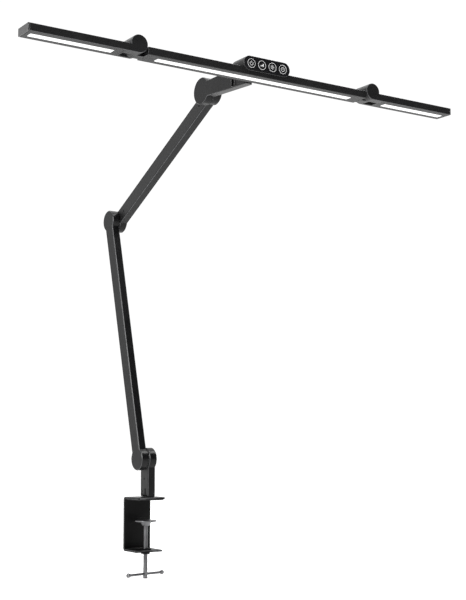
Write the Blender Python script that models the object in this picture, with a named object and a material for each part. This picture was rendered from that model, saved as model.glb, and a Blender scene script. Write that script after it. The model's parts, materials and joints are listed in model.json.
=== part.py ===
"""Clamp-on swing-arm desk lamp whose light bar folds in three sections.

The origin is on the desk face of the clamp, under the base swivel. X runs along the light bar, -Y points
to the person at the desk and +Z is up. Lengths are in metres. The two arms lie side by side: the post and
the upper arm share one plane, and the lower arm and the head share the plane beside it.
"""

import math

import bmesh
import bpy
from mathutils import Matrix

# Fits
GAP = 0.0003  # left between pieces that touch
ROUND = 24  # sides of a full circle
WELD = 1e-7
PAST = 0.002  # how far a cutter passes the face that it opens

# Clamp
CLAMP_WIDTH = 0.054
CLAMP_PLATE = 0.0035
TOP_JAW_DEPTH = 0.0565
BOTTOM_JAW_DEPTH = 0.0485
JAW_OPENING = 0.089
BEND_RADIUS = 0.006
DESK_PAD = 0.0012
DESK_PAD_MARGIN = 0.002
SWIVEL_TO_BACK = 0.0405
SCREW_TO_BACK = 0.034
SCREW_RADIUS = 0.004
BUSH_RADIUS = 0.008
BUSH_FLANGE = 0.010
BUSH_HEIGHT = 0.0095
BUSH_COLLAR = 0.002
DESK_THICKNESS = 0.0357  # what the clamp is set to
PAD_RADIUS = 0.019
PAD_RIM = 0.0026
HUB_RADIUS = 0.0107
HUB_NECK = 0.0065
HUB_HEIGHT = 0.0068
SCREW_SOCKET = 0.003
SCREW_TAIL = 0.046  # below the lower jaw
HANDLE_DROP = 0.0385  # below the lower jaw
HANDLE_RADIUS = 0.00225
HANDLE_LENGTH = 0.084
HANDLE_CAP_RADIUS = 0.004
HANDLE_CAP_LENGTH = 0.007
HANDLE_TURN = math.radians(12)

# Arms and their friction pivots
ARM_THICKNESS = 0.015
ARM_GAP = 0.0012
ARM_WIDTH = 0.027
ARM_CHAMFER = 0.0009
JOINT_RADIUS = 0.020
ARM_WALL = 0.0018
COVER = ARM_THICKNESS / 6
LOWER_ARM = 0.4625
UPPER_ARM = 0.373
SHOULDER_HEIGHT = 0.0725
LOWER_LEAN = math.radians(14.9)  # back from upright
UPPER_LEAN = math.radians(62.3)  # forward from upright
COVER_SCREW_INSET = 0.035  # from a pivot to the screw beside it
COVER_SCREW_HEAD = 0.0016
COVER_SCREW_SHANK = 0.001
COVER_SCREW_LENGTH = 0.0065
COUNTERBORE = 0.0014
BOSS_RADIUS = 0.0034
BOLT_RADIUS = 0.003
BOLT_HEAD_RADIUS = 0.0058
BOLT_HEAD = 0.003
BOLT_END = 0.001
WASHER_RADIUS = 0.011
WASHER_RECESS = 0.0005

# Post
POST_WIDTH = 0.0275
POST_FLOOR = 0.0015
BASE_WASHER = 0.0012
BASE_WASHER_RADIUS = 0.012
SPINDLE_RADIUS = ARM_THICKNESS * 0.233  # it fits between the post's walls
SPINDLE_HEAD_RADIUS = ARM_THICKNESS * 0.307
SPINDLE_HEAD = 0.004
CORD_SLOT_WIDTH = 0.0045
CORD_SLOT_HEIGHT = 0.014
CORD_SLOT_Y = -0.0039
GROMMET_WALL = 0.0008
RELIEF_SCREW_Y = 0.0058
RELIEF_SCREW_RADIUS = 0.0009
RELIEF_SCREW_LENGTH = 0.004
RELIEF_SCREW_RISES = (0.009, 0.0035)  # above the foot of the post

# Head bracket and swivel. Heights are above the underside of the bar
SWIVEL_BEHIND_BAR = 0.0395
HEAD_BEHIND_SWIVEL = 0.1012
THROAT_BEHIND_SWIVEL = 0.0085
HEAD_HEIGHT = 0.0203
HEAD_RADIUS = 0.023
BRACKET_TOP = 0.0338
BRACKET_FOOT_REAR = 0.007
BRACKET_FOOT_FRONT = -0.0004
UPPER_LUG_REACH = 0.010
LUG_GAP_TO_YOKE = 0.0012
LOWER_LUG_TOP = 0.005
UPPER_LUG = 0.003
BARREL_RADIUS = 0.0065
PIN_RADIUS = 0.0025
PIN_HEAD_RADIUS = 0.0045
PIN_HEAD = 0.0015
YOKE_PLATE = 0.003
YOKE_HALF_WIDTH = 0.018
YOKE_TONGUE_HALF_WIDTH = 0.0055
YOKE_MARGIN = 0.002
YOKE_STEP = 0.001  # from the top of its plate down to the barrel
YOKE_SCREW_X = 0.012
YOKE_SCREW_HEIGHT = 0.0045

# Light bar
BAR_LENGTH = 0.800
BAR_DEPTH = 0.035
BAR_HEIGHT = 0.012
BAR_WALL = 0.0015
BEZEL = 0.0018
HINGE_X = 0.223
HINGE_RADIUS = 0.0138
HINGE_END_GAP = 0.0012
FRONT_CHEEK_SHARE = 0.42  # of the bar's depth, as are the next two
TONGUE_SHARE = 0.414
DIFFUSER_SHARE = 0.526  # to the middle of the diffuser
FORK_SLOT = 0.0205  # from the hinge axis to the bottom of the fork
FORK_WALL = 0.003
TONGUE_PLUG = 0.018
HINGE_PIN_RADIUS = 0.0025
HINGE_PIN_INSET = 0.004
END_CAP = 0.002
DIFFUSER_WIDTH = 0.013
DIFFUSER_THICKNESS = 0.002
CENTRE_DIFFUSER_INSET = 0.0225  # from the end of the centre section
WING_DIFFUSER_INSET = 0.009  # from the end of the bar
HINGE_TO_DIFFUSER = 0.0355
BOARD_THICKNESS = 0.0012
LIGHT_GAP = 0.0015  # between the diffuser and its board
BOARD_WIDTH = 0.010

# Control pod
POD_HALF_LENGTH = 0.044
POD_X = 0.0048  # the pod isn't quite at the middle of the bar
POD_RADIUS = 0.01175
POD_FOOT = 0.0067  # above the underside of the bar
POD_BACK_MARGIN = 0.002  # from the back of the bar
POD_WALL = 0.0018
FASCIA = 0.0016
TOUCH_BOARD_SETBACK = 0.0025

FINISHES = {  # colour, roughness, metallic
    "black_paint": ((0.014, 0.014, 0.015), 0.42, 0.0),
    "black_plastic": ((0.018, 0.018, 0.018), 0.5, 0.0),
    "black_gloss": ((0.008, 0.008, 0.009), 0.16, 0.0),
    "clamp_paint": ((0.010, 0.010, 0.010), 0.5, 0.0),
    "steel": ((0.42, 0.42, 0.42), 0.32, 1.0),
    "dark_steel": ((0.10, 0.10, 0.10), 0.4, 1.0),
    "rubber": ((0.012, 0.012, 0.012), 0.85, 0.0),
    "nylon": ((0.55, 0.55, 0.52), 0.6, 0.0),
    "diffuser": ((0.9, 0.9, 0.9), 0.35, 0.0),
    "board": ((0.75, 0.76, 0.72), 0.5, 0.0),
}

# Heights and planes that follow from the sizes above
JAW_UNDERSIDE = DESK_PAD + GAP
JAW_TOP = JAW_UNDERSIDE + CLAMP_PLATE
LOWER_JAW_TOP = JAW_UNDERSIDE - JAW_OPENING
LOWER_JAW_UNDERSIDE = LOWER_JAW_TOP - CLAMP_PLATE
CLAMP_BACK = SWIVEL_TO_BACK
SCREW_Y = CLAMP_BACK - SCREW_TO_BACK
POST_BOTTOM = JAW_TOP + BASE_WASHER + 2 * GAP
SIDE_STEP = ARM_THICKNESS + ARM_GAP
HEAD_X = -SIDE_STEP
CENTRE_END = HINGE_X - HINGE_RADIUS - HINGE_END_GAP
BAR_END = BAR_LENGTH / 2
TONGUE_FRONT = FRONT_CHEEK_SHARE * BAR_DEPTH + GAP
TONGUE_BACK = TONGUE_FRONT + TONGUE_SHARE * BAR_DEPTH
BAR_CEILING = BAR_HEIGHT - BAR_WALL
DIFFUSER_Y = DIFFUSER_SHARE * BAR_DEPTH
CENTRE_DIFFUSER_END = CENTRE_END - CENTRE_DIFFUSER_INSET
WING_DIFFUSER_START = HINGE_X + HINGE_TO_DIFFUSER
WING_DIFFUSER_END = BAR_END - WING_DIFFUSER_INSET
POD_DEPTH = BAR_DEPTH - POD_BACK_MARGIN
POD_HEIGHT = POD_FOOT + POD_RADIUS  # of its middle
SWIVEL_Y = BAR_DEPTH + SWIVEL_BEHIND_BAR  # from the front of the bar, as are the next two
BRACKET_THROAT = SWIVEL_Y + THROAT_BEHIND_SWIVEL
HEAD_REACH = SWIVEL_Y + HEAD_BEHIND_SWIVEL


# Shapes ---------------------------------------------------------------------------------------------


def arc(centre, radius, start, end, steps):
    """Points on a circle from one angle to another, both included."""
    angles = [start + (end - start) * i / steps for i in range(steps + 1)]
    return [(centre[0] + radius * math.cos(a), centre[1] + radius * math.sin(a)) for a in angles]


def box_outline(low, high):
    return [(low[0], low[1]), (high[0], low[1]), (high[0], high[1]), (low[0], high[1])]


def place(point, axis, height):
    """Puts a point of an outline at a height along an axis: the outline is YZ, XZ or XY."""
    u, v = point
    return {"X": (height, u, v), "Y": (u, height, v), "Z": (u, v, height)}[axis]


def loft(axis, sections):
    """A closed body through outlines of equal length, each given with its height along the axis."""
    bm = bmesh.new()
    rings = [[bm.verts.new(place(p, axis, height)) for p in outline] for height, outline in sections]
    for first, second in zip(rings, rings[1:]):
        for i in range(len(first)):
            j = (i + 1) % len(first)
            bm.faces.new((first[i], first[j], second[j], second[i]))
    bm.faces.new(rings[0])
    bm.faces.new(rings[-1])
    return bm


def extrude(axis, outline, low, high):
    return loft(axis, [(low, outline), (high, outline)])


def block(low, high):
    return extrude("Z", box_outline(low[:2], high[:2]), low[2], high[2])


def turn(axis, centre, profile, steps=ROUND):
    """A turned body: (radius, height) points around an axis through a point of its outline plane."""
    bm = bmesh.new()
    rings = []
    for i in range(steps):
        a = math.tau * i / steps
        ring = []
        for radius, height in profile:
            point = (centre[0] + radius * math.cos(a), centre[1] + radius * math.sin(a))
            ring.append(bm.verts.new(place(point, axis, height)))
        rings.append(ring)
    for first, second in zip(rings, rings[1:] + rings[:1]):
        for i in range(len(profile)):
            j = (i + 1) % len(profile)
            if profile[i][0] or profile[j][0]:  # nothing is made along the axis itself
                bm.faces.new((first[i], first[j], second[j], second[i]))
    return bm


def rod(axis, centre, radius, low, high, steps=ROUND):
    return turn(axis, centre, [(0, low), (radius, low), (radius, high), (0, high)], steps)


def ring(axis, centre, inner, outer, low, high, steps=ROUND):
    return turn(axis, centre, [(inner, low), (outer, low), (outer, high), (inner, high)], steps)


def headed(axis, centre, head_radius, radius, head_face, seat, tip, steps=ROUND // 2):
    """A screw, bolt or pin: its head from head_face to seat, and its shank from seat to tip."""
    head = [(0, head_face), (head_radius, head_face), (head_radius, seat)]
    return turn(axis, centre, head + [(radius, seat), (radius, tip), (0, tip)], steps)


# Objects --------------------------------------------------------------------------------------------


def clear_scene():
    for obj in list(bpy.data.objects):
        bpy.data.objects.remove(obj)


def joint(name, parent, location, turn_x=0.0):
    """An empty on a joint's axis, which its pieces are parented to."""
    empty = bpy.data.objects.new(name, None)
    empty.empty_display_size = 0.02
    bpy.context.scene.collection.objects.link(empty)
    empty.parent = parent
    empty.location = location
    empty.rotation_euler = (turn_x, 0, 0)
    return empty


def material(name, finish):
    colour, roughness, metallic = FINISHES[finish]
    made = bpy.data.materials.new(name + "_finish")
    made.use_nodes = True
    shader = made.node_tree.nodes["Principled BSDF"]
    shader.inputs["Base Color"].default_value = (*colour, 1)
    shader.inputs["Roughness"].default_value = roughness
    shader.inputs["Metallic"].default_value = metallic
    made.diffuse_color = (*colour, 1)
    return made


def add(name, bm, finish, parent, location=(0, 0, 0)):
    """An object for a shape, with its doubled points merged and its faces turned out."""
    bmesh.ops.remove_doubles(bm, verts=bm.verts, dist=WELD)
    bmesh.ops.recalc_face_normals(bm, faces=bm.faces)
    mesh = bpy.data.meshes.new(name)
    bm.to_mesh(mesh)
    bm.free()
    mesh.shade_smooth()
    mesh.set_sharp_from_angle(angle=math.radians(35))
    obj = bpy.data.objects.new(name, mesh)
    bpy.context.scene.collection.objects.link(obj)
    obj.parent = parent
    obj.location = location
    if finish:
        mesh.materials.append(material(name, finish))
    return obj


def combine(obj, bm, operation):
    """A Boolean with a helper that stays out of the render."""
    name = f"{obj.name}_{operation.lower()}_{len(obj.modifiers)}"
    helper = add(name, bm, None, obj.parent, obj.location)
    helper.hide_render = True
    helper.display_type = "WIRE"
    modifier = obj.modifiers.new(name, "BOOLEAN")
    modifier.operation = operation
    modifier.object = helper
    modifier.solver = "EXACT"


def cut(obj, *shapes):
    for bm in shapes:
        combine(obj, bm, "DIFFERENCE")


def weld_on(obj, *shapes):
    for bm in shapes:
        combine(obj, bm, "UNION")


# Clamp ----------------------------------------------------------------------------------------------


def clamp_outline():
    """The bent plate from the side: top jaw, back and lower jaw, with round bends, as one closed path."""
    outer, inner = BEND_RADIUS, BEND_RADIUS - CLAMP_PLATE
    top_front = CLAMP_BACK - TOP_JAW_DEPTH
    low_front = CLAMP_BACK - BOTTOM_JAW_DEPTH
    y = CLAMP_BACK - outer
    top, low = JAW_TOP - outer, LOWER_JAW_UNDERSIDE + outer
    path = [(top_front, JAW_UNDERSIDE), (top_front, JAW_TOP)]
    path += list(reversed(arc((y, top), outer, 0, math.pi / 2, 6)))
    path += list(reversed(arc((y, low), outer, -math.pi / 2, 0, 6)))
    path += [(low_front, LOWER_JAW_UNDERSIDE), (low_front, LOWER_JAW_TOP)]
    path += arc((y, low), inner, -math.pi / 2, 0, 6)
    path += arc((y, top), inner, 0, math.pi / 2, 6)
    return path


def build_clamp(root):
    half = CLAMP_WIDTH / 2
    front = CLAMP_BACK - TOP_JAW_DEPTH
    bracket = add("clamp_bracket", extrude("X", clamp_outline(), -half, half), "clamp_paint", root)
    cut(
        bracket,
        rod("Z", (0, 0), SPINDLE_RADIUS + GAP, JAW_UNDERSIDE - PAST, JAW_TOP + PAST),
        rod("Z", (0, SCREW_Y), BUSH_RADIUS + GAP, LOWER_JAW_UNDERSIDE - PAST, LOWER_JAW_TOP + PAST),
    )
    low = (-half + DESK_PAD_MARGIN, front + DESK_PAD_MARGIN, 0)
    add("desk_pad", block(low, (half - DESK_PAD_MARGIN, CLAMP_BACK - BEND_RADIUS, DESK_PAD)), "rubber", root)
    collar = LOWER_JAW_TOP + GAP
    bore = SCREW_RADIUS + GAP
    profile = [
        (bore, collar + BUSH_COLLAR - BUSH_HEIGHT),
        (BUSH_RADIUS, collar + BUSH_COLLAR - BUSH_HEIGHT),
        (BUSH_RADIUS, collar),
        (BUSH_FLANGE, collar),
        (BUSH_FLANGE, collar + BUSH_COLLAR),
        (bore, collar + BUSH_COLLAR),
    ]
    add("screw_bush", turn("Z", (0, SCREW_Y), profile), "dark_steel", root)
    head_seat = POST_BOTTOM + POST_FLOOR + GAP
    spindle = headed(
        "Z", (0, 0), SPINDLE_HEAD_RADIUS, SPINDLE_RADIUS, head_seat + SPINDLE_HEAD, head_seat, JAW_UNDERSIDE
    )
    add("base_spindle", spindle, "steel", root)
    washer = JAW_TOP + GAP
    shape = ring("Z", (0, 0), SPINDLE_RADIUS + GAP, BASE_WASHER_RADIUS, washer, washer + BASE_WASHER)
    add("base_washer", shape, "black_plastic", root)


def build_clamp_screw(pad_joint, screw_joint, handle_joint):
    """The pad, its screw and the sliding handle, which is drilled through the screw's tail."""
    at = (0, SCREW_Y)
    top = -DESK_THICKNESS
    hub_end = top - PAD_RIM - HUB_HEIGHT
    socket = hub_end + SCREW_SOCKET
    profile = [
        (0, top),
        (PAD_RADIUS, top),
        (PAD_RADIUS, top - PAD_RIM),
        (HUB_RADIUS, top - PAD_RIM),
        (HUB_NECK, hub_end),
        (SCREW_RADIUS + GAP, hub_end),
        (SCREW_RADIUS + GAP, socket + GAP),
        (0, socket + GAP),
    ]
    lift = (0, -SCREW_Y, 0)
    add("pressure_pad", turn("Z", at, profile), "steel", pad_joint, lift)
    tail = LOWER_JAW_UNDERSIDE - SCREW_TAIL
    screw = add("clamp_screw", rod("Z", at, SCREW_RADIUS, tail, socket), "steel", screw_joint, lift)
    height = LOWER_JAW_UNDERSIDE - HANDLE_DROP
    half = HANDLE_LENGTH / 2
    hole = rod("X", (0, 0), HANDLE_RADIUS + GAP, -half, half, ROUND // 2)
    bmesh.ops.rotate(hole, verts=hole.verts, matrix=Matrix.Rotation(HANDLE_TURN, 3, "Z"))
    bmesh.ops.translate(hole, verts=hole.verts, vec=(0, SCREW_Y, height))
    cut(screw, hole)
    inside = half - HANDLE_CAP_LENGTH
    bar = rod("X", (0, 0), HANDLE_RADIUS, -inside, inside, ROUND // 2)
    made = add("clamp_handle", bar, "steel", handle_joint)
    made.rotation_euler = (0, 0, HANDLE_TURN)
    for side, name in ((-1, "handle_cap_left"), (1, "handle_cap_right")):
        low, high = sorted((side * (inside + GAP), side * half))
        cap = add(name, rod("X", (0, 0), HANDLE_CAP_RADIUS, low, high, ROUND // 2), "steel", handle_joint)
        cap.rotation_euler = (0, 0, HANDLE_TURN)


# Arms -----------------------------------------------------------------------------------------------


def link_outline(length, inset=0.0):
    """An arm from the side: a round end on each pivot, joined by straight sides."""
    radius, half = JOINT_RADIUS - inset, ARM_WIDTH / 2 - inset
    meet = math.acos(half / radius)
    low = arc((0, 0), radius, math.pi - meet, math.tau + meet, ROUND)
    return low + arc((0, length), radius, -meet, math.pi + meet, ROUND)


def post_outline(inset=0.0):
    """The post from the side: a round end on the shoulder and a square foot."""
    radius, half = JOINT_RADIUS - inset, POST_WIDTH / 2 - inset
    meet = math.acos(half / radius)
    foot = POST_BOTTOM + inset
    return [(-half, foot), (half, foot)] + arc((0, SHOULDER_HEIGHT), radius, -meet, math.pi + meet, ROUND)


def shell(name, outline_at, side, centre, parent):
    """A hollow arm or post with a chamfered closed face. It is open on the side that faces the next arm."""
    half = ARM_THICKNESS / 2
    closed = centre - side * half
    faces = [
        (closed, outline_at(ARM_CHAMFER)),
        (closed + side * ARM_CHAMFER, outline_at(0)),
        (centre + side * half, outline_at(0)),
    ]
    made = add(name, loft("X", faces), "black_paint", parent)
    floor = closed + side * ARM_WALL
    return made, floor


def hollow(made, outline_at, floor, side):
    far = floor + side * ARM_THICKNESS
    cut(made, extrude("X", outline_at(ARM_WALL), *sorted((floor, far))))


def pivot_bore(at, face, side):
    """The hole for a pivot bolt, with the recess for its friction washer in the outer face of the cover."""
    outside, inside = face + side * PAST, face - side * (COVER + PAST)
    recess = face - side * WASHER_RECESS
    return headed("X", at, WASHER_RADIUS + GAP, BOLT_RADIUS + GAP, outside, recess, inside, ROUND)


def screw_bore(axis, at, face, side, depth):
    """A screw's hole and its counterbore, seen from outside: side is the way out along the axis."""
    outside, seat, inside = face + side * PAST, face - side * COUNTERBORE, face - side * depth
    return headed(axis, at, COVER_SCREW_HEAD + GAP, COVER_SCREW_SHANK + GAP, outside, seat, inside)


def cover(name, outline_at, side, centre, parent, pivots):
    """The plate that closes a shell and carries its pivots. Each has a bore and a washer recess."""
    face = centre + side * ARM_THICKNESS / 2
    inner = face - side * COVER
    plate = extrude("X", outline_at(ARM_WALL + GAP), *sorted((inner, face)))
    made = add(name, plate, "black_plastic", parent)
    for z in pivots:
        cut(made, pivot_bore((0, z), face, side))
    return made, inner


def cover_screw(name, made, z, side, centre, parent):
    """A counterbored screw through a cover."""
    face = centre + side * ARM_THICKNESS / 2
    cut(made, screw_bore("X", (0, z), face, side, COVER + PAST))
    seat = face - side * (COUNTERBORE - GAP)
    tip = seat - side * COVER_SCREW_LENGTH
    top = seat + side * COVER_SCREW_HEAD / 2
    add(name, headed("X", (0, z), COVER_SCREW_HEAD, COVER_SCREW_SHANK, top, seat, tip), "dark_steel", parent)


def boss(made, z, floor, inner, side):
    """The tube inside a shell that a cover screw bites into."""
    root = floor - side * ARM_WALL / 2
    top = inner - side * GAP
    weld_on(made, ring("X", (0, z), COVER_SCREW_SHANK + GAP, BOSS_RADIUS, *sorted((root, top)), ROUND // 2))


def build_arm(name, length, side, centre, parent):
    """A shell, its cover and the two screws between them."""

    def outline(inset):
        return link_outline(length, inset)

    made, floor = shell(name + "_shell", outline, side, centre, parent)
    hollow(made, outline, floor, side)
    plate, inner = cover(name + "_cover", outline, side, centre, parent, (0, length))
    for z, end in ((COVER_SCREW_INSET, "low"), (length - COVER_SCREW_INSET, "high")):
        boss(made, z, floor, inner, side)
        cover_screw(f"{name}_screw_{end}", plate, z, side, centre, parent)


def build_post(parent):
    """The post stands on the base washer, turns round the spindle and lets the cord out at its foot."""
    side = -1
    made, floor = shell("post_shell", post_outline, side, 0, parent)
    inner_foot = POST_BOTTOM + POST_FLOOR
    cavity = [(y, max(z, inner_foot)) for y, z in post_outline(ARM_WALL)]
    cut(made, extrude("X", cavity, *sorted((floor, floor + side * ARM_THICKNESS))))
    cut(made, extrude("X", post_outline(ARM_WALL), -ARM_THICKNESS, -ARM_THICKNESS / 2 + COVER + GAP))
    cut(made, rod("Z", (0, 0), SPINDLE_RADIUS + GAP, POST_BOTTOM - PAST, inner_foot + PAST))
    plate, inner = cover("post_cover", post_outline, side, 0, parent, (SHOULDER_HEIGHT,))
    z = SHOULDER_HEIGHT - COVER_SCREW_INSET
    boss(made, z, floor, inner, side)
    cover_screw("post_screw", plate, z, side, 0, parent)
    slot_top = POST_BOTTOM + CORD_SLOT_HEIGHT
    y0, y1 = CORD_SLOT_Y - CORD_SLOT_WIDTH / 2, CORD_SLOT_Y + CORD_SLOT_WIDTH / 2
    deep = -ARM_THICKNESS / 2 + COVER + GAP
    for piece in (plate, made):
        cut(piece, block((-ARM_THICKNESS, y0, POST_BOTTOM - PAST), (deep, y1, slot_top)))
    face = -ARM_THICKNESS / 2
    outer = box_outline((y0 + GAP, POST_BOTTOM), (y1 - GAP, slot_top - GAP))
    inside = (y0 + GAP + GROMMET_WALL, y1 - GAP - GROMMET_WALL)
    grommet = add("cord_grommet", extrude("X", outer, face, inner), "rubber", parent)
    low = (face - PAST, inside[0], POST_BOTTOM - PAST)
    cut(grommet, block(low, (inner + PAST, inside[1], slot_top - GAP - GROMMET_WALL)))
    for rise, end in zip(RELIEF_SCREW_RISES, ("high", "low")):
        at = (RELIEF_SCREW_Y, POST_BOTTOM + rise)
        cut(plate, rod("X", at, RELIEF_SCREW_RADIUS + GAP, face - PAST, inner + PAST, ROUND // 2))
        screw = rod("X", at, RELIEF_SCREW_RADIUS, face + GAP, face + GAP + RELIEF_SCREW_LENGTH, ROUND // 2)
        add(f"relief_screw_{end}", screw, "dark_steel", parent)


def build_pivot(name, parent):
    """A bolt, a nut and a friction washer between two covers that face each other across the arm gap."""
    near = -ARM_THICKNESS / 2  # face of the cover in the plane of the post
    far = near - ARM_GAP
    at = (0, 0)
    seat = near + COVER + GAP
    nut = far - COVER - GAP
    end = nut - BOLT_HEAD - BOLT_END
    bolt = headed("X", at, BOLT_HEAD_RADIUS, BOLT_RADIUS, seat + BOLT_HEAD, seat, end, ROUND)
    add(name + "_bolt", bolt, "dark_steel", parent)
    hexagon = arc(at, BOLT_HEAD_RADIUS, 0, math.tau * 5 / 6, 5)
    made = add(name + "_nut", extrude("X", hexagon, nut - BOLT_HEAD, nut), "dark_steel", parent)
    cut(made, rod("X", at, BOLT_RADIUS + GAP, nut - BOLT_HEAD - PAST, nut + PAST))
    low, high = far - WASHER_RECESS + GAP, near + WASHER_RECESS - GAP
    add(name + "_washer", ring("X", at, BOLT_RADIUS + GAP, WASHER_RADIUS, low, high), "nylon", parent)


# Head -----------------------------------------------------------------------------------------------


def foot_height(y):
    """The bracket's underside, which falls in a straight line towards the bar."""
    rear = HEAD_REACH - HEAD_RADIUS
    share = (rear - y) / (rear - BAR_DEPTH)
    return BRACKET_FOOT_REAR + (BRACKET_FOOT_FRONT - BRACKET_FOOT_REAR) * share


def bracket_outline(radius=HEAD_RADIUS):
    """The bracket from the side: a round end on the pivot, and two lugs for the swivel at the front."""
    centre = (HEAD_REACH, HEAD_HEIGHT)
    up = BRACKET_TOP - HEAD_HEIGHT
    rear = HEAD_REACH - radius
    down = HEAD_HEIGHT - foot_height(rear)
    start = math.pi + math.asin(down / radius)
    end = math.tau + math.pi - math.asin(up / radius)
    lower_tip = BAR_DEPTH + GAP + YOKE_PLATE + LUG_GAP_TO_YOKE
    upper_tip = SWIVEL_Y - UPPER_LUG_REACH
    front = [
        (upper_tip, BRACKET_TOP),
        (upper_tip, BRACKET_TOP - UPPER_LUG),
        (BRACKET_THROAT, BRACKET_TOP - UPPER_LUG),
        (BRACKET_THROAT, LOWER_LUG_TOP),
        (lower_tip, LOWER_LUG_TOP),
        (lower_tip, foot_height(lower_tip)),
    ]
    return arc(centre, radius, start, end, ROUND) + front


def build_bracket(parent, location):
    half = ARM_THICKNESS / 2
    side = extrude("X", bracket_outline(), -half, half)
    bracket = add("head_bracket", side, "black_paint", parent, location)
    tip = BAR_DEPTH + GAP + YOKE_PLATE + LUG_GAP_TO_YOKE
    wide, shoulder = half + GAP, tip + half + PAST
    back = HEAD_REACH + HEAD_RADIUS + PAST
    plan = arc((0, tip + half), half, math.pi, math.tau, ROUND // 2)
    plan += [(wide, shoulder), (wide, back), (-wide, back), (-wide, shoulder)]
    combine(bracket, extrude("Z", plan, foot_height(tip) - PAST, BRACKET_TOP + HEAD_RADIUS), "INTERSECT")
    at = (HEAD_REACH, HEAD_HEIGHT)
    radius = JOINT_RADIUS - ARM_WALL
    cut(bracket, rod("X", at, radius, -half + ARM_WALL, half + PAST))
    pin_foot = LOWER_LUG_TOP - PIN_RADIUS / 2
    cut(bracket, rod("Z", (0, SWIVEL_Y), PIN_RADIUS + GAP, pin_foot - GAP, BRACKET_TOP + PAST))
    disc = rod("X", at, radius - GAP, half - COVER, half)
    plate = add("bracket_cover", disc, "black_plastic", parent, location)
    cut(plate, pivot_bore(at, half, 1))
    seat = BRACKET_TOP + GAP
    pin = headed("Z", (0, SWIVEL_Y), PIN_HEAD_RADIUS, PIN_RADIUS, seat + PIN_HEAD, seat, pin_foot)
    add("swivel_pin", pin, "dark_steel", parent, location)


def build_yoke(parent, location):
    """The block on the back of the bar, whose barrel turns on the swivel pin between the lugs."""
    low, high = LOWER_LUG_TOP + GAP, BRACKET_TOP - UPPER_LUG - GAP
    back = BAR_DEPTH + GAP
    plate_top = POD_HEIGHT + POD_RADIUS - YOKE_MARGIN
    plate = block((-YOKE_HALF_WIDTH, back, YOKE_MARGIN), (YOKE_HALF_WIDTH, back + YOKE_PLATE, plate_top))
    yoke = add("swivel_yoke", plate, "black_paint", parent, location)
    side = YOKE_TONGUE_HALF_WIDTH
    meet = math.asin(side / BARREL_RADIUS)
    plan = arc((0, SWIVEL_Y), BARREL_RADIUS, meet - math.pi / 2, math.pi * 3 / 2 - meet, ROUND)
    plan += [(-side, back + YOKE_PLATE / 2), (side, back + YOKE_PLATE / 2)]
    weld_on(yoke, extrude("Z", plan, low, min(high, plate_top - YOKE_STEP)))
    cut(yoke, rod("Z", (0, SWIVEL_Y), PIN_RADIUS + GAP, low - PAST, high + PAST))
    for sign, name in ((-1, "yoke_screw_left"), (1, "yoke_screw_right")):
        at = (sign * YOKE_SCREW_X, YOKE_SCREW_HEIGHT)
        face = back + YOKE_PLATE
        cut(yoke, screw_bore("Y", at, face, 1, YOKE_PLATE + PAST))
        seat = face - COUNTERBORE + GAP
        screw = headed("Y", at, COVER_SCREW_HEAD, COVER_SCREW_SHANK, face, seat, seat - COVER_SCREW_LENGTH)
        add(name, screw, "dark_steel", parent, location)


# Light bar ------------------------------------------------------------------------------------------


def stadium(inset=0.0):
    """The control pod from the front: straight top and bottom with full round ends."""
    radius = POD_RADIUS - inset
    x = POD_HALF_LENGTH - POD_RADIUS
    right = arc((POD_X + x, POD_HEIGHT), radius, -math.pi / 2, math.pi / 2, ROUND // 2)
    return right + arc((POD_X - x, POD_HEIGHT), radius, math.pi / 2, math.pi * 3 / 2, ROUND // 2)


def window(start, end, clearance=0.0):
    """The diffuser's place in the underside, as two corners of a rectangle in X and Y."""
    half = DIFFUSER_WIDTH / 2 + clearance
    low, high = sorted((start, end))
    return (low - clearance, DIFFUSER_Y - half), (high + clearance, DIFFUSER_Y + half)


def light(name, plate_ends, window_ends, parent, location):
    """The bezel, the diffuser in its window and the board of lamps above it."""
    low, high = sorted(plate_ends)
    y0, y1 = BAR_WALL + GAP, BAR_DEPTH - BAR_WALL - GAP
    bezel = add(name + "_bezel", block((low, y0, 0), (high, y1, BEZEL)), "black_plastic", parent, location)
    a, b = window(*window_ends, GAP)
    cut(bezel, block((*a, -PAST), (*b, BEZEL + PAST)))
    a, b = window(*window_ends)
    add(name + "_diffuser", block((*a, 0), (*b, DIFFUSER_THICKNESS)), "diffuser", parent, location)
    low = DIFFUSER_THICKNESS + LIGHT_GAP
    y0, y1 = DIFFUSER_Y - BOARD_WIDTH / 2, DIFFUSER_Y + BOARD_WIDTH / 2
    board = block((a[0], y0, low), (b[0], y1, low + BOARD_THICKNESS))
    add(name + "_led_board", board, "board", parent, location)


def build_centre(parent, location):
    end = CENTRE_END
    body = block((-end, 0, 0), (end, BAR_DEPTH, BAR_HEIGHT))
    housing = add("centre_housing", body, "black_paint", parent, location)
    inner = end - BAR_WALL
    cut(housing, block((-inner, BAR_WALL, -PAST), (inner, BAR_DEPTH - BAR_WALL, BAR_CEILING)))
    low = (-end - PAST, TONGUE_FRONT - GAP, BEZEL)
    cut(housing, block(low, (end + PAST, TONGUE_BACK + GAP, BAR_CEILING)))
    cut(housing, extrude("Y", stadium(-GAP), -PAST, POD_DEPTH + GAP))
    for sign in (-1, 1):
        at = (sign * YOKE_SCREW_X, YOKE_SCREW_HEIGHT)
        cut(housing, rod("Y", at, COVER_SCREW_SHANK + GAP, BAR_DEPTH / 2, BAR_DEPTH + PAST, ROUND // 2))
    plate = inner - GAP
    ends = (-CENTRE_DIFFUSER_END, CENTRE_DIFFUSER_END)
    light("centre", (-plate, plate), ends, parent, location)


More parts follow.
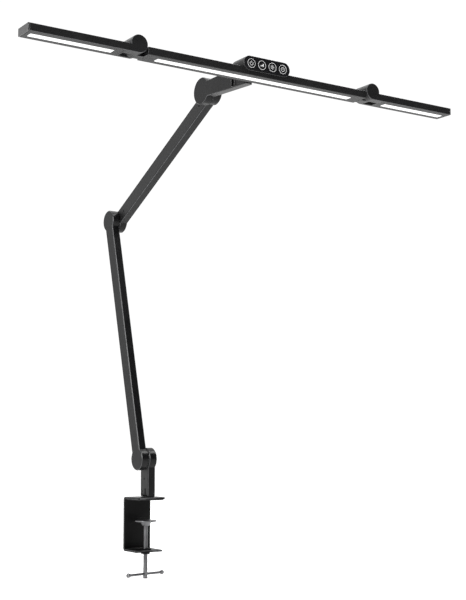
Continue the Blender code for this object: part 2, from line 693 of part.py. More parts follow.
def build_pod(parent, location):
    pod = add("pod_housing", extrude("Y", stadium(), 0, POD_DEPTH), "black_plastic", parent, location)
    cut(pod, extrude("Y", stadium(POD_WALL), -PAST, POD_DEPTH - POD_WALL))
    fascia = extrude("Y", stadium(), -GAP - FASCIA, -GAP)
    add("touch_fascia", fascia, "black_gloss", parent, location)
    near = TOUCH_BOARD_SETBACK
    board = extrude("Y", stadium(POD_WALL + GAP), near, near + BOARD_THICKNESS)
    add("touch_board", board, "board", parent, location)


def tongue_outline(side):
    """The hinge tongue from the front: a disc on the axis, its web, and a plug inside the centre housing."""
    x = HINGE_X
    face = CENTRE_END + GAP
    plug_low, plug_high = BEZEL + GAP, BAR_CEILING - GAP
    root = CENTRE_END - TONGUE_PLUG
    meet = math.asin((BAR_HEIGHT - HINGE_RADIUS) / HINGE_RADIUS)
    disc = arc((x, HINGE_RADIUS), HINGE_RADIUS, -math.pi / 2, math.pi - meet, ROUND)
    web = [(face, BAR_HEIGHT), (face, plug_high), (root, plug_high)]
    web += [(root, plug_low), (face, plug_low), (face, 0)]
    return [(side * u, v) for u, v in disc + web]


def wing_outline(side):
    """A wing from the front: a disc on the hinge axis that runs into the flat bar."""
    x, end = HINGE_X, BAR_END - END_CAP - GAP
    meet = math.asin((BAR_HEIGHT - HINGE_RADIUS) / HINGE_RADIUS)
    disc = arc((x, HINGE_RADIUS), HINGE_RADIUS, meet, math.pi * 3 / 2, ROUND)
    return [(side * u, v) for u, v in disc + [(end, 0), (end, BAR_HEIGHT)]]


def build_hinge(name, side, parent, location):
    tongue = extrude("Y", tongue_outline(side), TONGUE_FRONT, TONGUE_BACK)
    made = add(name + "_hinge_tongue", tongue, "black_paint", parent, location)
    at = (side * HINGE_X, HINGE_RADIUS)
    cut(made, rod("Y", at, HINGE_PIN_RADIUS + GAP, TONGUE_FRONT - PAST, TONGUE_BACK + PAST))


def build_wing(name, side, parent, location):
    housing = extrude("Y", wing_outline(side), 0, BAR_DEPTH)
    wing = add(name + "_housing", housing, "black_paint", parent, location)
    slot_end = HINGE_X + FORK_SLOT
    inner, end = slot_end + FORK_WALL, BAR_END - END_CAP - GAP
    near = HINGE_X - HINGE_RADIUS - PAST
    xs = sorted((side * near, side * slot_end))
    slot = block((xs[0], TONGUE_FRONT - GAP, -PAST), (xs[1], TONGUE_BACK + GAP, HINGE_RADIUS * 2 + PAST))
    xs = sorted((side * inner, side * (end + PAST)))
    pocket = block((xs[0], BAR_WALL, -PAST), (xs[1], BAR_DEPTH - BAR_WALL, BAR_CEILING))
    at = (side * HINGE_X, HINGE_RADIUS)
    bore = rod("Y", at, HINGE_PIN_RADIUS + GAP, HINGE_PIN_INSET, BAR_DEPTH + PAST)
    cut(wing, slot, pocket, bore)
    pin = rod("Y", at, HINGE_PIN_RADIUS, HINGE_PIN_INSET + GAP, BAR_DEPTH)
    add(name + "_hinge_pin", pin, "dark_steel", parent, location)
    plate = (side * (inner + GAP), side * (end - GAP))
    light(name, plate, (side * WING_DIFFUSER_START, side * WING_DIFFUSER_END), parent, location)
    xs = sorted((side * (BAR_END - END_CAP), side * BAR_END))
    cap = block((xs[0], 0, 0), (xs[1], BAR_DEPTH, BAR_HEIGHT))
    add(name + "_end_cap", cap, "black_plastic", parent, location)


def main():
    clear_scene()
    root = joint("clamp_root", None, (0, 0, 0))
    build_clamp(root)
    pad = joint("pad_joint", root, (0, SCREW_Y, 0))
    screw = joint("screw_joint", pad, (0, 0, 0))
    handle = joint("handle_joint", screw, (0, 0, LOWER_JAW_UNDERSIDE - HANDLE_DROP))
    build_clamp_screw(pad, screw, handle)

    base = joint("base_joint", root, (0, 0, 0))
    build_post(base)
    hub = joint("shoulder_hub", base, (0, 0, SHOULDER_HEIGHT))
    build_pivot("shoulder", hub)
    shoulder = joint("shoulder_joint", base, (0, 0, SHOULDER_HEIGHT), -LOWER_LEAN)
    build_arm("lower_arm", LOWER_ARM, 1, -SIDE_STEP, shoulder)
    elbow = joint("elbow_joint", shoulder, (0, 0, LOWER_ARM), LOWER_LEAN + UPPER_LEAN)
    build_pivot("elbow", elbow)
    build_arm("upper_arm", UPPER_ARM, -1, 0, elbow)
    head_hub = joint("head_hub", elbow, (0, 0, UPPER_ARM), -UPPER_LEAN)
    build_pivot("head", head_hub)

    head = joint("head_joint", elbow, (0, 0, UPPER_ARM), -UPPER_LEAN)
    build_bracket(head, (HEAD_X, -HEAD_REACH, -HEAD_HEIGHT))
    swivel = joint("swivel_joint", head, (HEAD_X, SWIVEL_Y - HEAD_REACH, 0))
    at_swivel = (0, -SWIVEL_Y, -HEAD_HEIGHT)
    build_yoke(swivel, at_swivel)
    build_centre(swivel, at_swivel)
    build_pod(swivel, at_swivel)
    for side, name in ((-1, "left"), (1, "right")):
        build_hinge(name, side, swivel, at_swivel)
        wing = joint(name + "_wing_joint", swivel, (side * HINGE_X, -SWIVEL_Y, HINGE_RADIUS - HEAD_HEIGHT))
        build_wing(name + "_wing", side, wing, (-side * HINGE_X, 0, -HINGE_RADIUS))


main()
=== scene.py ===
"""Looks of a clamp-on swing-arm desk lamp with a light bar that folds in three sections.

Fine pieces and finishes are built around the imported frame. X runs along the light bar, -Y points to the
person at the desk and +Z is up. Lengths are in metres. A shape is worked out as whole arrays: a profile
carried round an outline, a profile turned round an axis, or a section carried along a path.
"""

import json  # noqa: E402
import logging  # noqa: E402
import math  # noqa: E402
from dataclasses import dataclass, field  # noqa: E402
from enum import Enum  # noqa: E402
from typing import Any, Optional, Sequence, Union  # noqa: E402

import bmesh  # noqa: E402
import bpy  # noqa: E402
import numpy as np  # noqa: E402
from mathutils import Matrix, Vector  # noqa: E402
from numpy.typing import NDArray  # noqa: E402


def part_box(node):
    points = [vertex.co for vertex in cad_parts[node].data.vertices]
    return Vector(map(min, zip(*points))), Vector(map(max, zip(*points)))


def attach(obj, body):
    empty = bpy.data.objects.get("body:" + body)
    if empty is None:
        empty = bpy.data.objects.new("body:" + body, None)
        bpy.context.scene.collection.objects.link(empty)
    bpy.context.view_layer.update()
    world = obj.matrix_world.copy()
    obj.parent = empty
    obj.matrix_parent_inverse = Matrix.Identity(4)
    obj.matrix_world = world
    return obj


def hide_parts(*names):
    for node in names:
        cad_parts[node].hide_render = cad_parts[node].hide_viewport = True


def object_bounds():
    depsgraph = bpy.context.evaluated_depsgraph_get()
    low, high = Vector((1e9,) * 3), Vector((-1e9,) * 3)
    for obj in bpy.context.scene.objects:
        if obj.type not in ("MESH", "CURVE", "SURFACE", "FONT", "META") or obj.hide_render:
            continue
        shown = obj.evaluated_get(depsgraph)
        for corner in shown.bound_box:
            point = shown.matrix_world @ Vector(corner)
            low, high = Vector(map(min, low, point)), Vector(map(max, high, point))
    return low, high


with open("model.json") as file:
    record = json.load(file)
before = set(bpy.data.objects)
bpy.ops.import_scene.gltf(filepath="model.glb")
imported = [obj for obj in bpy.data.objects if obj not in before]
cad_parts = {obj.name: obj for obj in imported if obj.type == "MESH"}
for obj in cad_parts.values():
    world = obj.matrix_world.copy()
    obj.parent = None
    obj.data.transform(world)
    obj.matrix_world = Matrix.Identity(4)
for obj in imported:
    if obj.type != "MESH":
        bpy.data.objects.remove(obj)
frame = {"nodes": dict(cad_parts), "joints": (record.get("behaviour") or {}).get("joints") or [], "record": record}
CAD_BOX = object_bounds()

LOG = logging.getLogger("light_bar")
Array = NDArray[np.float64]
Colour = tuple[float, float, float]
Point = tuple[float, float, float]

GAP = 0.0003  # between pieces that touch
PAST = 0.002  # how far a cutter passes the face that it opens
WELD = 1e-7
CORNER = math.radians(20)  # a path that turns less than this isn't at a corner
CREASE = math.radians(40)  # an edge that turns more than this stays sharp
EDGE = "edge"  # vertex attribute: 1 along the middle of a rounded edge, 0 on flats
SHANK_SHARE = 0.76  # of the base spindle's head
PIVOT_BOLT = 0.003  # radius
PIVOT_WASHER = 0.011  # radius of the friction washers
WASHER_RECESS = 0.0005
SMALL_HEAD = 0.0016  # radius of a small screw's head
SMALL_SHANK = 0.001


# Places in the frame --------------------------------------------------------------------------------


def span(node: str, axis: int) -> tuple[float, float]:
    """Lowest and highest coordinate of a frame node.

    Args:
        node: the node's name.
        axis: 0, 1 or 2 for X, Y or Z.

    Returns:
        The two coordinates in metres.
    """
    low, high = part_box(node)
    return float(low[axis]), float(high[axis])


def middle(node: str, axis: int) -> float:
    """Middle of a frame node along an axis."""
    return sum(span(node, axis)) / 2


def joint_place(name: str) -> Array:
    """Where a hinge's axis passes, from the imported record."""
    return np.array(next(j["pos_m"] for j in frame["joints"] if j["name"] == name), float)


@dataclass(frozen=True)
class Stand:
    """An origin and three directions, which carry local coordinates into the frame.

    place = origin + a * u + b * v + c * w
    """

    origin: Point
    u: Point
    v: Point
    w: Point

    def carry(self, points: Array) -> Array:
        """Local points, one a row, as places in the frame."""
        return np.array(self.origin) + points @ np.array([self.u, self.v, self.w], float)


def along_x(y: float = 0.0, z: float = 0.0, x: float = 0.0) -> Stand:
    """Outlines lie in Y and Z, and heights run along X."""
    return Stand((x, y, z), (0, 1, 0), (0, 0, 1), (1, 0, 0))


def along_y(x: float = 0.0, z: float = 0.0, y: float = 0.0) -> Stand:
    """Outlines lie in X and Z, and heights run along Y."""
    return Stand((x, y, z), (1, 0, 0), (0, 0, 1), (0, 1, 0))


def along_z(x: float = 0.0, y: float = 0.0, z: float = 0.0) -> Stand:
    """Outlines lie in X and Y, and heights run along Z."""
    return Stand((x, y, z), (1, 0, 0), (0, 1, 0), (0, 0, 1))


# Outlines and profiles ------------------------------------------------------------------------------


def arc(centre: Sequence[float], radius: float, start: float, end: float, steps: int = 24) -> Array:
    """Points on a circle: centre + radius * (cos a, sin a) for angles a from start to end.

    Args:
        centre: middle of the circle.
        radius: its radius.
        start: first angle in radians.
        end: last angle in radians.
        steps: how many equal steps are between them.

    Returns:
        One point a row.
    """
    angle = np.linspace(start, end, steps + 1)
    return np.array(centre) + radius * np.stack([np.cos(angle), np.sin(angle)], axis=1)


def rectangle(low: Sequence[float], high: Sequence[float]) -> Array:
    """The four corners of a rectangle."""
    return np.array([(low[0], low[1]), (high[0], low[1]), (high[0], high[1]), (low[0], high[1])], float)


def stadium(centre: Sequence[float], half_length: float, radius: float, steps: int = 24) -> Array:
    """A straight-sided outline with full round ends.

    Args:
        centre: its middle.
        half_length: half its whole length.
        radius: radius of its ends.
        steps: steps on each end.

    Returns:
        One point a row: the right arc, then the left one.
    """
    x, z = centre
    reach = half_length - radius
    right = arc((x + reach, z), radius, -math.pi / 2, math.pi / 2, steps)
    return np.concatenate([right, arc((x - reach, z), radius, math.pi / 2, math.pi * 3 / 2, steps)])


@dataclass
class Path:
    """Points one after another, with how far round each is on a softened corner."""

    points: Array
    edge: Array


def soften(
    points: Union[Array, Sequence[Sequence[float]]],
    radius: Union[float, Sequence[float]],
    closed: bool = True,
    steps: int = 4,
) -> Path:
    """Round the corners of a path.

    Each corner p becomes an arc that is tangent to both of its sides. With a and b the points where it
    leaves them, and w the cosine of half the turn, the arc is the weighted mean
    ((1-s)^2 a + 2 w s (1-s) p + s^2 b) / ((1-s)^2 + 2 w s (1-s) + s^2) for s from 0 to 1.

    Args:
        points: the path's corners.
        radius: one radius, or one for each point.
        closed: whether the last point is joined to the first.
        steps: steps on each arc.

    Returns:
        The rounded path. Its edge value is sin(pi s) on an arc and 0 elsewhere.
    """
    points = np.array(points, float)
    to_last, to_next = np.roll(points, 1, axis=0) - points, np.roll(points, -1, axis=0) - points
    last_length = np.maximum(np.linalg.norm(to_last, axis=1), WELD)
    next_length = np.maximum(np.linalg.norm(to_next, axis=1), WELD)
    to_last, to_next = to_last / last_length[:, None], to_next / next_length[:, None]
    turn = math.pi - np.arccos(np.clip((to_last * to_next).sum(axis=1), -1, 1))
    corner = (turn > CORNER) & (np.broadcast_to(radius, turn.shape) > 0)
    if not closed:
        corner[[0, -1]] = False
    longest = 0.45 * np.minimum(last_length, next_length)
    reach = np.minimum(np.tan(np.where(corner, turn, 0) / 2) * radius, longest)[:, None]
    s = np.linspace(0, 1, steps + 1)
    near, far = (1 - s) ** 2, s**2
    mid = 2 * np.cos(turn / 2)[:, None] * s * (1 - s)
    total = near + mid + far
    starts, ends = points + to_last * reach, points + to_next * reach
    shares = [(near / total)[:, :, None], (mid / total)[:, :, None], (far / total)[:, :, None]]
    arcs = shares[0] * starts[:, None] + shares[1] * points[:, None] + shares[2] * ends[:, None]
    keep = corner[:, None] | (s == 0)[None, :]
    edge = np.where(corner[:, None], np.sin(math.pi * s)[None, :], 0.0)
    return Path(arcs[keep], edge[keep])


def inward(outline: Array) -> Array:
    """How each point of an outline moves for an inset of one.

    At a corner that is the sum of the normals of its two sides over one plus their dot product, turned
    to point into the outline.

    Args:
        outline: points round a closed outline, one a row.

    Returns:
        One direction a row.
    """
    side = np.roll(outline, -1, axis=0) - outline
    area = np.cross(outline, np.roll(outline, -1, axis=0)).sum()
    side /= np.maximum(np.linalg.norm(side, axis=1, keepdims=True), WELD)
    normal = np.stack([-side[:, 1], side[:, 0]], axis=1) * np.sign(area)
    before = np.roll(normal, 1, axis=0)
    return (normal + before) / (1 + (normal * before).sum(axis=1, keepdims=True))


# Surfaces -------------------------------------------------------------------------------------------


@dataclass
class Skin:
    """A closed surface: its points, its faces and the edge value of each point."""

    points: Array
    faces: list[list[int]]
    edge: Array

    def at(self, stand: Stand) -> "Skin":
        """The same surface, carried into the frame."""
        return Skin(stand.carry(self.points), self.faces, self.edge)


def lattice(rows: int, columns: int, rows_close: bool = False) -> list[list[int]]:
    """Quads between neighbouring points of a grid, whose columns close into a ring.

    Args:
        rows: number of rows.
        columns: number of points in a row.
        rows_close: whether the last row is joined to the first.

    Returns:
        Four point numbers for each quad.
    """
    index = np.arange(rows * columns).reshape(rows, columns)
    beside = np.roll(index, -1, axis=1)
    above, above_beside = np.roll(index, -1, axis=0), np.roll(beside, -1, axis=0)
    last = rows if rows_close else rows - 1
    quads = np.stack([index, beside, above_beside, above], axis=-1)[:last]
    return quads.reshape(-1, 4).tolist()


def capped(points: Array, edge: Array) -> Skin:
    """A grid of points, rows by columns, as a closed surface with a face across its first and last row.

    Args:
        points: places, as rows by columns by three.
        edge: edge values, as rows by columns.

    Returns:
        The closed surface.
    """
    rows, columns = points.shape[:2]
    ends = [list(range(columns)), list(range((rows - 1) * columns, rows * columns))]
    return Skin(points.reshape(-1, 3), lattice(rows, columns) + ends, edge.reshape(-1))


def carried(outline: Array, profile: Path) -> Skin:
    """A profile of (inset, height) carried round an outline.

    point(i, j) = outline[j] + inset[i] * inward[j], at height[i]

    Args:
        outline: the outline, in the local u and v.
        profile: insets and heights, in order from one cap to the other.

    Returns:
        The closed surface in local coordinates.
    """
    inset, height = profile.points.T
    flat = outline[None] + inset[:, None, None] * inward(outline)[None]
    up = np.broadcast_to(height[:, None, None], (len(height), len(outline), 1))
    edge = np.broadcast_to(profile.edge[:, None], up.shape[:2])
    return capped(np.concatenate([flat, up], axis=2), edge)


def slab(
    outline: Array, low: float, high: float, radius: float = 0.0, steps: int = 4, flat: bool = False
) -> Skin:
    """A plate with this outline whose two rims are rounded or chamfered.

    Along a round rim the inset is radius * (1 - sin q) and the height is radius * (1 - cos q) from the
    face, for q from 0 to a quarter turn. Along a flat one they are radius * (1 - t) and radius * t.

    Args:
        outline: the outline, in the local u and v.
        low: height of the lower face.
        high: height of the upper face.
        radius: how wide the rims are.
        steps: steps on each rim.
        flat: whether the rims are chamfers.

    Returns:
        The closed surface in local coordinates.
    """
    if not radius:
        return carried(outline, Path(np.array([(0, low), (0, high)], float), np.zeros(2)))
    q = np.linspace(0, math.pi / 2, steps + 1)
    inset, rise, edge = radius * (1 - np.sin(q)), radius * (1 - np.cos(q)), np.sin(2 * q)
    if flat:
        inset, rise = radius * (1 - q * 2 / math.pi), radius * q * 2 / math.pi
    lower, upper = np.stack([inset, low + rise], axis=1), np.stack([inset, high - rise], axis=1)[::-1]
    return carried(outline, Path(np.concatenate([lower, upper]), np.concatenate([edge, edge[::-1]])))


def turned(profile: Path, steps: int = 64, ring: bool = False) -> Skin:
    """A profile of (radius, height) turned round the local w.

    point(i, j) = (radius[i] cos a[j], radius[i] sin a[j], height[i])

    Args:
        profile: the profile, which ends on the axis unless it closes on itself.
        steps: how many flat sides stand for a circle.
        ring: whether the profile closes on itself, as a washer's does.

    Returns:
        The closed surface in local coordinates.
    """
    angle = np.linspace(0, math.tau, steps, endpoint=False)
    radius, height = profile.points.T[:, :, None]
    grid = np.stack(np.broadcast_arrays(radius * np.cos(angle), radius * np.sin(angle), height), axis=-1)
    edge = np.broadcast_to(profile.edge[:, None], grid.shape[:2])
    if not ring:
        return capped(grid, edge)
    faces = lattice(len(height), steps, True)
    return Skin(grid.reshape(-1, 3), faces, edge.reshape(-1))


def rod(radius: float, low: float, high: float, rim: float = 0.0, steps: int = 48) -> Skin:
    """A plain round bar along the local w, with softened rims."""
    corners = [(0, low), (radius, low), (radius, high), (0, high)]
    return turned(soften(corners, rim, False), steps)


def bent_strip(path: Path, half_width: float, thickness: float, corner: float, rim: float) -> Skin:
    """A strip of sheet carried along a path, with rounded edges and rounded end corners.

    The section is a flat loop of (across, through). Each point is
    path + through * normal, at across * narrowing along the width, where narrowing follows a quarter
    circle over the last stretch at each end.

    Args:
        path: the middle of the sheet in the local u and v.
        half_width: half the width of the strip.
        thickness: thickness of the sheet.
        corner: radius of the end corners in plan.
        rim: radius of the sheet's edges.

    Returns:
        The closed surface, whose width runs along the local w.
    """
    half = thickness / 2
    loop = soften(rectangle((-half_width, -half), (half_width, half)), rim)
    length = np.concatenate([[0], np.cumsum(np.linalg.norm(np.diff(path.points, axis=0), axis=1))])
    near = corner * (1 - np.cos(np.linspace(0, math.pi / 2, 9)))
    station = np.unique(np.concatenate([near, length[-1] - near, length[1:-1]]))
    middle_line = np.stack([np.interp(station, length, path.points[:, i]) for i in (0, 1)], axis=1)
    side = np.gradient(middle_line, station, axis=0)
    side /= np.linalg.norm(side, axis=1, keepdims=True)
    normal = np.stack([-side[:, 1], side[:, 0]], axis=1)
    short = np.maximum(corner - np.minimum(station, length[-1] - station), 0)
    width = (half_width - corner + np.sqrt(corner**2 - short**2)) / half_width
    across, through = loop.points.T
    plane = middle_line[:, None] + through[None, :, None] * normal[:, None]
    over = (width[:, None] * across[None])[:, :, None]
    edge = np.broadcast_to(loop.edge[None], over.shape[:2])
    return capped(np.concatenate([plane, over], axis=2), edge)


def threaded_rod(radius: float, pitch: float, depth: float, low: float, high: float, plain: float) -> Skin:
    """A bar with a screw thread along the local w above a plain tail.

    radius(h, a) = radius - depth * wave of (h / pitch - a / tau), faded in over one pitch above the tail
    and out over one pitch at the top. Both ends are chamfered.

    Args:
        radius: of the crests and of the plain tail.
        pitch: rise of one turn.
        depth: depth of the thread.
        low: height of the lower end.
        high: height of the upper end.
        plain: length of the tail.

    Returns:
        The closed surface in local coordinates.
    """
    columns, per_pitch = 32, 8
    rows = int((high - low) / pitch * per_pitch) + 1
    height = np.linspace(low, high, rows)[:, None]
    angle = np.linspace(0, math.tau, columns, endpoint=False)[None]
    phase = np.mod(height / pitch - angle / math.tau, 1)
    groove = 0.5 - 0.5 * np.cos(math.tau * phase)
    from_end = np.minimum(height - low, high - height)
    share = np.clip(np.minimum(height - low - plain, high - height) / pitch, 0, 1)
    reach = radius - depth * groove * share - np.clip(depth - from_end, 0, depth)
    parts = np.broadcast_arrays(reach * np.cos(angle), reach * np.sin(angle), height)
    # The edge value is high on the crests and 0 in the grooves, so the steel finish paints a highlight on the
    # crests and shade in the grooves.
    return capped(np.stack(parts, axis=-1), (1 - groove) * 0.6)


def stroke(path: Array, width: float, low: float, high: float, closed: bool = False) -> Skin:
    """A flat line of even width: an oblong section carried along a path in the local u and v.

    point(i, j) = path[i] + across[j] * normal[i], at height[j]

    Args:
        path: the middle of the line.
        width: its width.
        low: height of its lower face.
        high: height of its upper face.
        closed: whether it joins up with its start.

    Returns:
        The closed surface in local coordinates.
    """
    side = np.roll(path, -1, axis=0) - np.roll(path, 1, axis=0) if closed else np.gradient(path, axis=0)
    side /= np.linalg.norm(side, axis=1, keepdims=True)
    normal = np.stack([-side[:, 1], side[:, 0]], axis=1)
    across = np.array([-0.5, 0.5, 0.5, -0.5]) * width
    height = np.array([low, low, high, high])
    flat = path[:, None] + across[None, :, None] * normal[:, None]
    grid = np.concatenate([flat, np.broadcast_to(height[None, :, None], (*flat.shape[:2], 1))], axis=2)
    edge = np.zeros(grid.shape[:2])
    if closed:
        return Skin(grid.reshape(-1, 3), lattice(len(path), 4, True), edge.reshape(-1))
    return capped(grid, edge)


# Objects --------------------------------------------------------------------------------------------


def mesh_object(name: str, skins: Sequence[Skin]) -> bpy.types.Object:
    """One object for these surfaces, with doubled points merged and faces turned outwards.

    Args:
        name: the object's name.
        skins: the surfaces, in the frame.

    Returns:
        The object, at the origin.
    """
    counts = np.cumsum([0] + [len(skin.points) for skin in skins])
    points = np.concatenate([skin.points for skin in skins])
    faces = [[i + start for i in f] for skin, start in zip(skins, counts.tolist()) for f in skin.faces]
    mesh = bpy.data.meshes.new(name)
    mesh.from_pydata(points, [], faces)
    attribute = mesh.attributes.new(EDGE, "FLOAT", "POINT")
    attribute.data.foreach_set("value", np.concatenate([skin.edge for skin in skins]).astype(np.float32))
    bm = bmesh.new()
    bm.from_mesh(mesh)
    bmesh.ops.remove_doubles(bm, verts=bm.verts, dist=WELD)
    bmesh.ops.recalc_face_normals(bm, faces=bm.faces)
    bm.to_mesh(mesh)
    bm.free()
    made = bpy.data.objects.new(name, mesh)
    bpy.context.scene.collection.objects.link(made)
    return made


class Join(Enum):
    """How a second shape changes the first."""

    CUT = "DIFFERENCE"
    ADD = "UNION"
    KEEP = "INTERSECT"


def shape(made: bpy.types.Object, how: Join, *skins: Skin) -> None:
    """Change an object's mesh by other closed surfaces, one after another.

    Args:
        made: the object.
        how: whether they are cut away, added, or what is kept.
        skins: the other surfaces, in the frame.
    """
    for skin in skins:
        helper = mesh_object("helper", [skin])
        modifier = made.modifiers.new("shape", "BOOLEAN")
        modifier.operation, modifier.solver, modifier.object = how.value, "EXACT", helper
        bpy.context.view_layer.update()
        graph = bpy.context.evaluated_depsgraph_get()
        old, made_mesh = made.data, bpy.data.meshes.new_from_object(made.evaluated_get(graph))
        made.modifiers.clear()
        made.data = made_mesh
        bpy.data.meshes.remove(old)
        bpy.data.objects.remove(helper)


def finish_piece(made: bpy.types.Object, body: str, slot: str, *nodes: str) -> None:
    """Smooth a piece, give it its material, put it on its body and hide the frame nodes that it stands for.

    Args:
        made: the piece.
        body: the body that it moves with.
        slot: the record's material slot.
        nodes: the frame nodes that it replaces.
    """
    mesh = made.data
    mesh.shade_smooth()
    mesh.set_sharp_from_angle(angle=CREASE)
    weighted = made.modifiers.new("flats_stay_flat", "WEIGHTED_NORMAL")
    weighted.keep_sharp = True
    mesh.materials.clear()
    mesh.materials.append(finish_of(slot, *nodes).material())
    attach(made, body)
    if nodes:
        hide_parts(*nodes)
    LOG.info("%s: %d faces on %s", made.name, len(mesh.polygons), body)


# Shaders --------------------------------------------------------------------------------------------


class Value:
    """A number in a shader. Arithmetic on it adds Math nodes."""

    def __init__(self, tree: "Tree", socket: bpy.types.NodeSocket) -> None:
        """Wrap an output socket of a tree."""
        self.tree, self.socket = tree, socket

    def math(self, operation: str, *values: Union["Value", float]) -> "Value":
        """The result of a Math node on these values."""
        node = self.tree.add("ShaderNodeMath", {"operation": operation}, dict(enumerate(values)))
        return Value(self.tree, node.outputs[0])

    def __add__(self, other: Union["Value", float]) -> "Value":
        """self + other"""
        return self.math("ADD", self, other)

    __radd__ = __add__

    def __sub__(self, other: Union["Value", float]) -> "Value":
        """self - other"""
        return self.math("SUBTRACT", self, other)

    def __rsub__(self, other: float) -> "Value":
        """other - self"""
        return self.math("SUBTRACT", other, self)

    def __mul__(self, other: Union["Value", float]) -> "Value":
        """self * other"""
        return self.math("MULTIPLY", self, other)

    __rmul__ = __mul__

    def within(self, low: float, high: float) -> "Value":
        """0 below low, 1 above high, and a smooth step between them.

        Args:
            low: where the step starts.
            high: where it ends.

        Returns:
            A number from 0 to 1.
        """
        settings = {"interpolation_type": "SMOOTHSTEP"}
        sockets = {"Value": self, "From Min": low, "From Max": high}
        return Value(self.tree, self.tree.add("ShaderNodeMapRange", settings, sockets).outputs[0])


class Tree:
    """The nodes of one material or of the world."""

    def __init__(self, nodes_of: Union[bpy.types.Material, bpy.types.World]) -> None:
        """Start with an empty node tree."""
        nodes_of.use_nodes = True
        self.tree = nodes_of.node_tree
        self.tree.nodes.clear()

    def add(
        self, kind: str, settings: Optional[dict[str, Any]] = None, sockets: Optional[dict[Any, Any]] = None
    ) -> Any:
        """Add a node.

        Args:
            kind: the node's type.
            settings: its properties, which are set first.
            sockets: a value, a Value or an output socket for each named or numbered input.

        Returns:
            The node.
        """
        node = self.tree.nodes.new(kind)
        for key, value in (settings or {}).items():
            setattr(node, key, value)
        for key, value in (sockets or {}).items():
            source = value.socket if isinstance(value, Value) else value
            if isinstance(source, bpy.types.NodeSocket):
                self.tree.links.new(source, node.inputs[key])
            else:
                node.inputs[key].default_value = source
        return node

    def place(self, turn: Point = (0, 0, 0), scale: Point = (1, 1, 1)) -> bpy.types.NodeSocket:
        """Object coordinates, turned and then scaled."""
        start = self.add("ShaderNodeTexCoord").outputs["Object"]
        sockets = {"Vector": start, "Rotation": turn, "Scale": scale}
        return self.add("ShaderNodeMapping", None, sockets).outputs[0]

    def noise(self, size: float, detail: float = 3.0, place: Optional[Any] = None) -> Value:
        """Even noise with features of about this size in metres."""
        sockets = {"Vector": place or self.place(), "Scale": 1 / size, "Detail": detail}
        return Value(self, self.add("ShaderNodeTexNoise", None, sockets).outputs[0])

    def cells(self, size: float) -> Value:
        """Distance to the nearest of scattered points about this far apart, 0 to about 1."""
        sockets = {"Vector": self.place(), "Scale": 1 / size}
        return Value(self, self.add("ShaderNodeTexVoronoi", None, sockets).outputs[0])

    def edge(self) -> Value:
        """The edge value that a piece carries on its points."""
        return Value(self, self.add("ShaderNodeAttribute", {"attribute_name": EDGE}).outputs["Fac"])

    def blend(self, share: Union[Value, float], first: Any, second: Any) -> bpy.types.NodeSocket:
        """A colour between two others.

        Args:
            share: how much of the second there is, 0 to 1.
            first: a colour or an output socket.
            second: a colour or an output socket.

        Returns:
            The mixed colour's socket.
        """
        node = self.add("ShaderNodeMix", {"data_type": "RGBA"}, {0: share})
        for index, colour in ((6, first), (7, second)):
            if isinstance(colour, bpy.types.NodeSocket):
                self.tree.links.new(colour, node.inputs[index])
            else:
                node.inputs[index].default_value = (*colour, 1)
        return node.outputs[2]

    def bump(self, height: Value, depth: float) -> bpy.types.NodeSocket:
        """A normal for a height between 0 and 1, where 1 stands depth metres proud."""
        sockets = {"Height": height, "Distance": depth, "Strength": 1.0}
        return self.add("ShaderNodeBump", None, sockets).outputs[0]

    def surface(self, **sockets: Any) -> None:
        """The principled shader with these inputs, joined to the output."""
        named = {key.replace("_", " "): value for key, value in sockets.items()}
        shader = self.add("ShaderNodeBsdfPrincipled", None, named)
        self.add("ShaderNodeOutputMaterial", None, {"Surface": shader.outputs[0]})


@dataclass
class Finish:
    """What a material slot looks like. Each kind of finish fills in its own nodes."""

    name: str
    made: Optional[bpy.types.Material] = field(default=None, repr=False)

    def material(self) -> bpy.types.Material:
        """The material, made the first time that it is asked for."""
        if self.made is None:
            self.made = bpy.data.materials.new(self.name)
            self.fill(Tree(self.made))
        return self.made

    def fill(self, tree: Tree) -> None:
        """Add this finish's nodes."""
        raise NotImplementedError


@dataclass
class Coating(Finish):
    """Paint, moulded plastic or rubber: slow clouds, fine grain, specks of dust, and lighter edges that are partly
    wear and partly a painted highlight.
    """

    colour: Colour = (0.0045, 0.0045, 0.0048)
    cloud_colour: Colour = (0.0070, 0.0070, 0.0074)
    # Colour along the edges: partly wear, partly a painted highlight where light would catch the rims.
    worn_edge_and_highlight: Colour = (0.10, 0.10, 0.104)
    specular: float = 0.15
    roughness: tuple[float, float] = (0.25, 0.33)
    rubbed_roughness: float = 0.20
    grain: float = 0.0007
    grain_depth: float = 0.00003
    cloud: float = 0.03
    dust: float = 0.015

    def fill(self, tree: Tree) -> None:
        """Clouds change colour and roughness, edges are lighter and smoother (wear, with a painted highlight in
        the lighter colour), and grain is bump.

        Args:
            tree: the material's empty node tree.
        """
        cloud, grain = tree.noise(self.cloud, 4), tree.noise(self.grain, 2)
        # Mask of the lighter edges: wear and painted edge highlight.
        edge_wear_and_highlight = (tree.edge() * (0.55 + 0.9 * tree.noise(0.006, 3))).within(0.35, 0.95)
        speck = 1 - tree.cells(0.004).within(0.03, 0.07)
        colour = tree.blend(cloud.within(0.3, 0.7), self.colour, self.cloud_colour)
        colour = tree.blend(edge_wear_and_highlight, colour, self.worn_edge_and_highlight)
        colour = tree.blend(speck * self.dust, colour, (0.5, 0.5, 0.5))
        low, high = self.roughness
        even = low + (high - low) * cloud + (grain - 0.5) * 0.06
        tree.surface(
            Base_Color=colour,
            Roughness=even + edge_wear_and_highlight * (self.rubbed_roughness - low) + speck * self.dust,
            Specular_IOR_Level=self.specular,
            Normal=tree.bump(grain, self.grain_depth),
        )


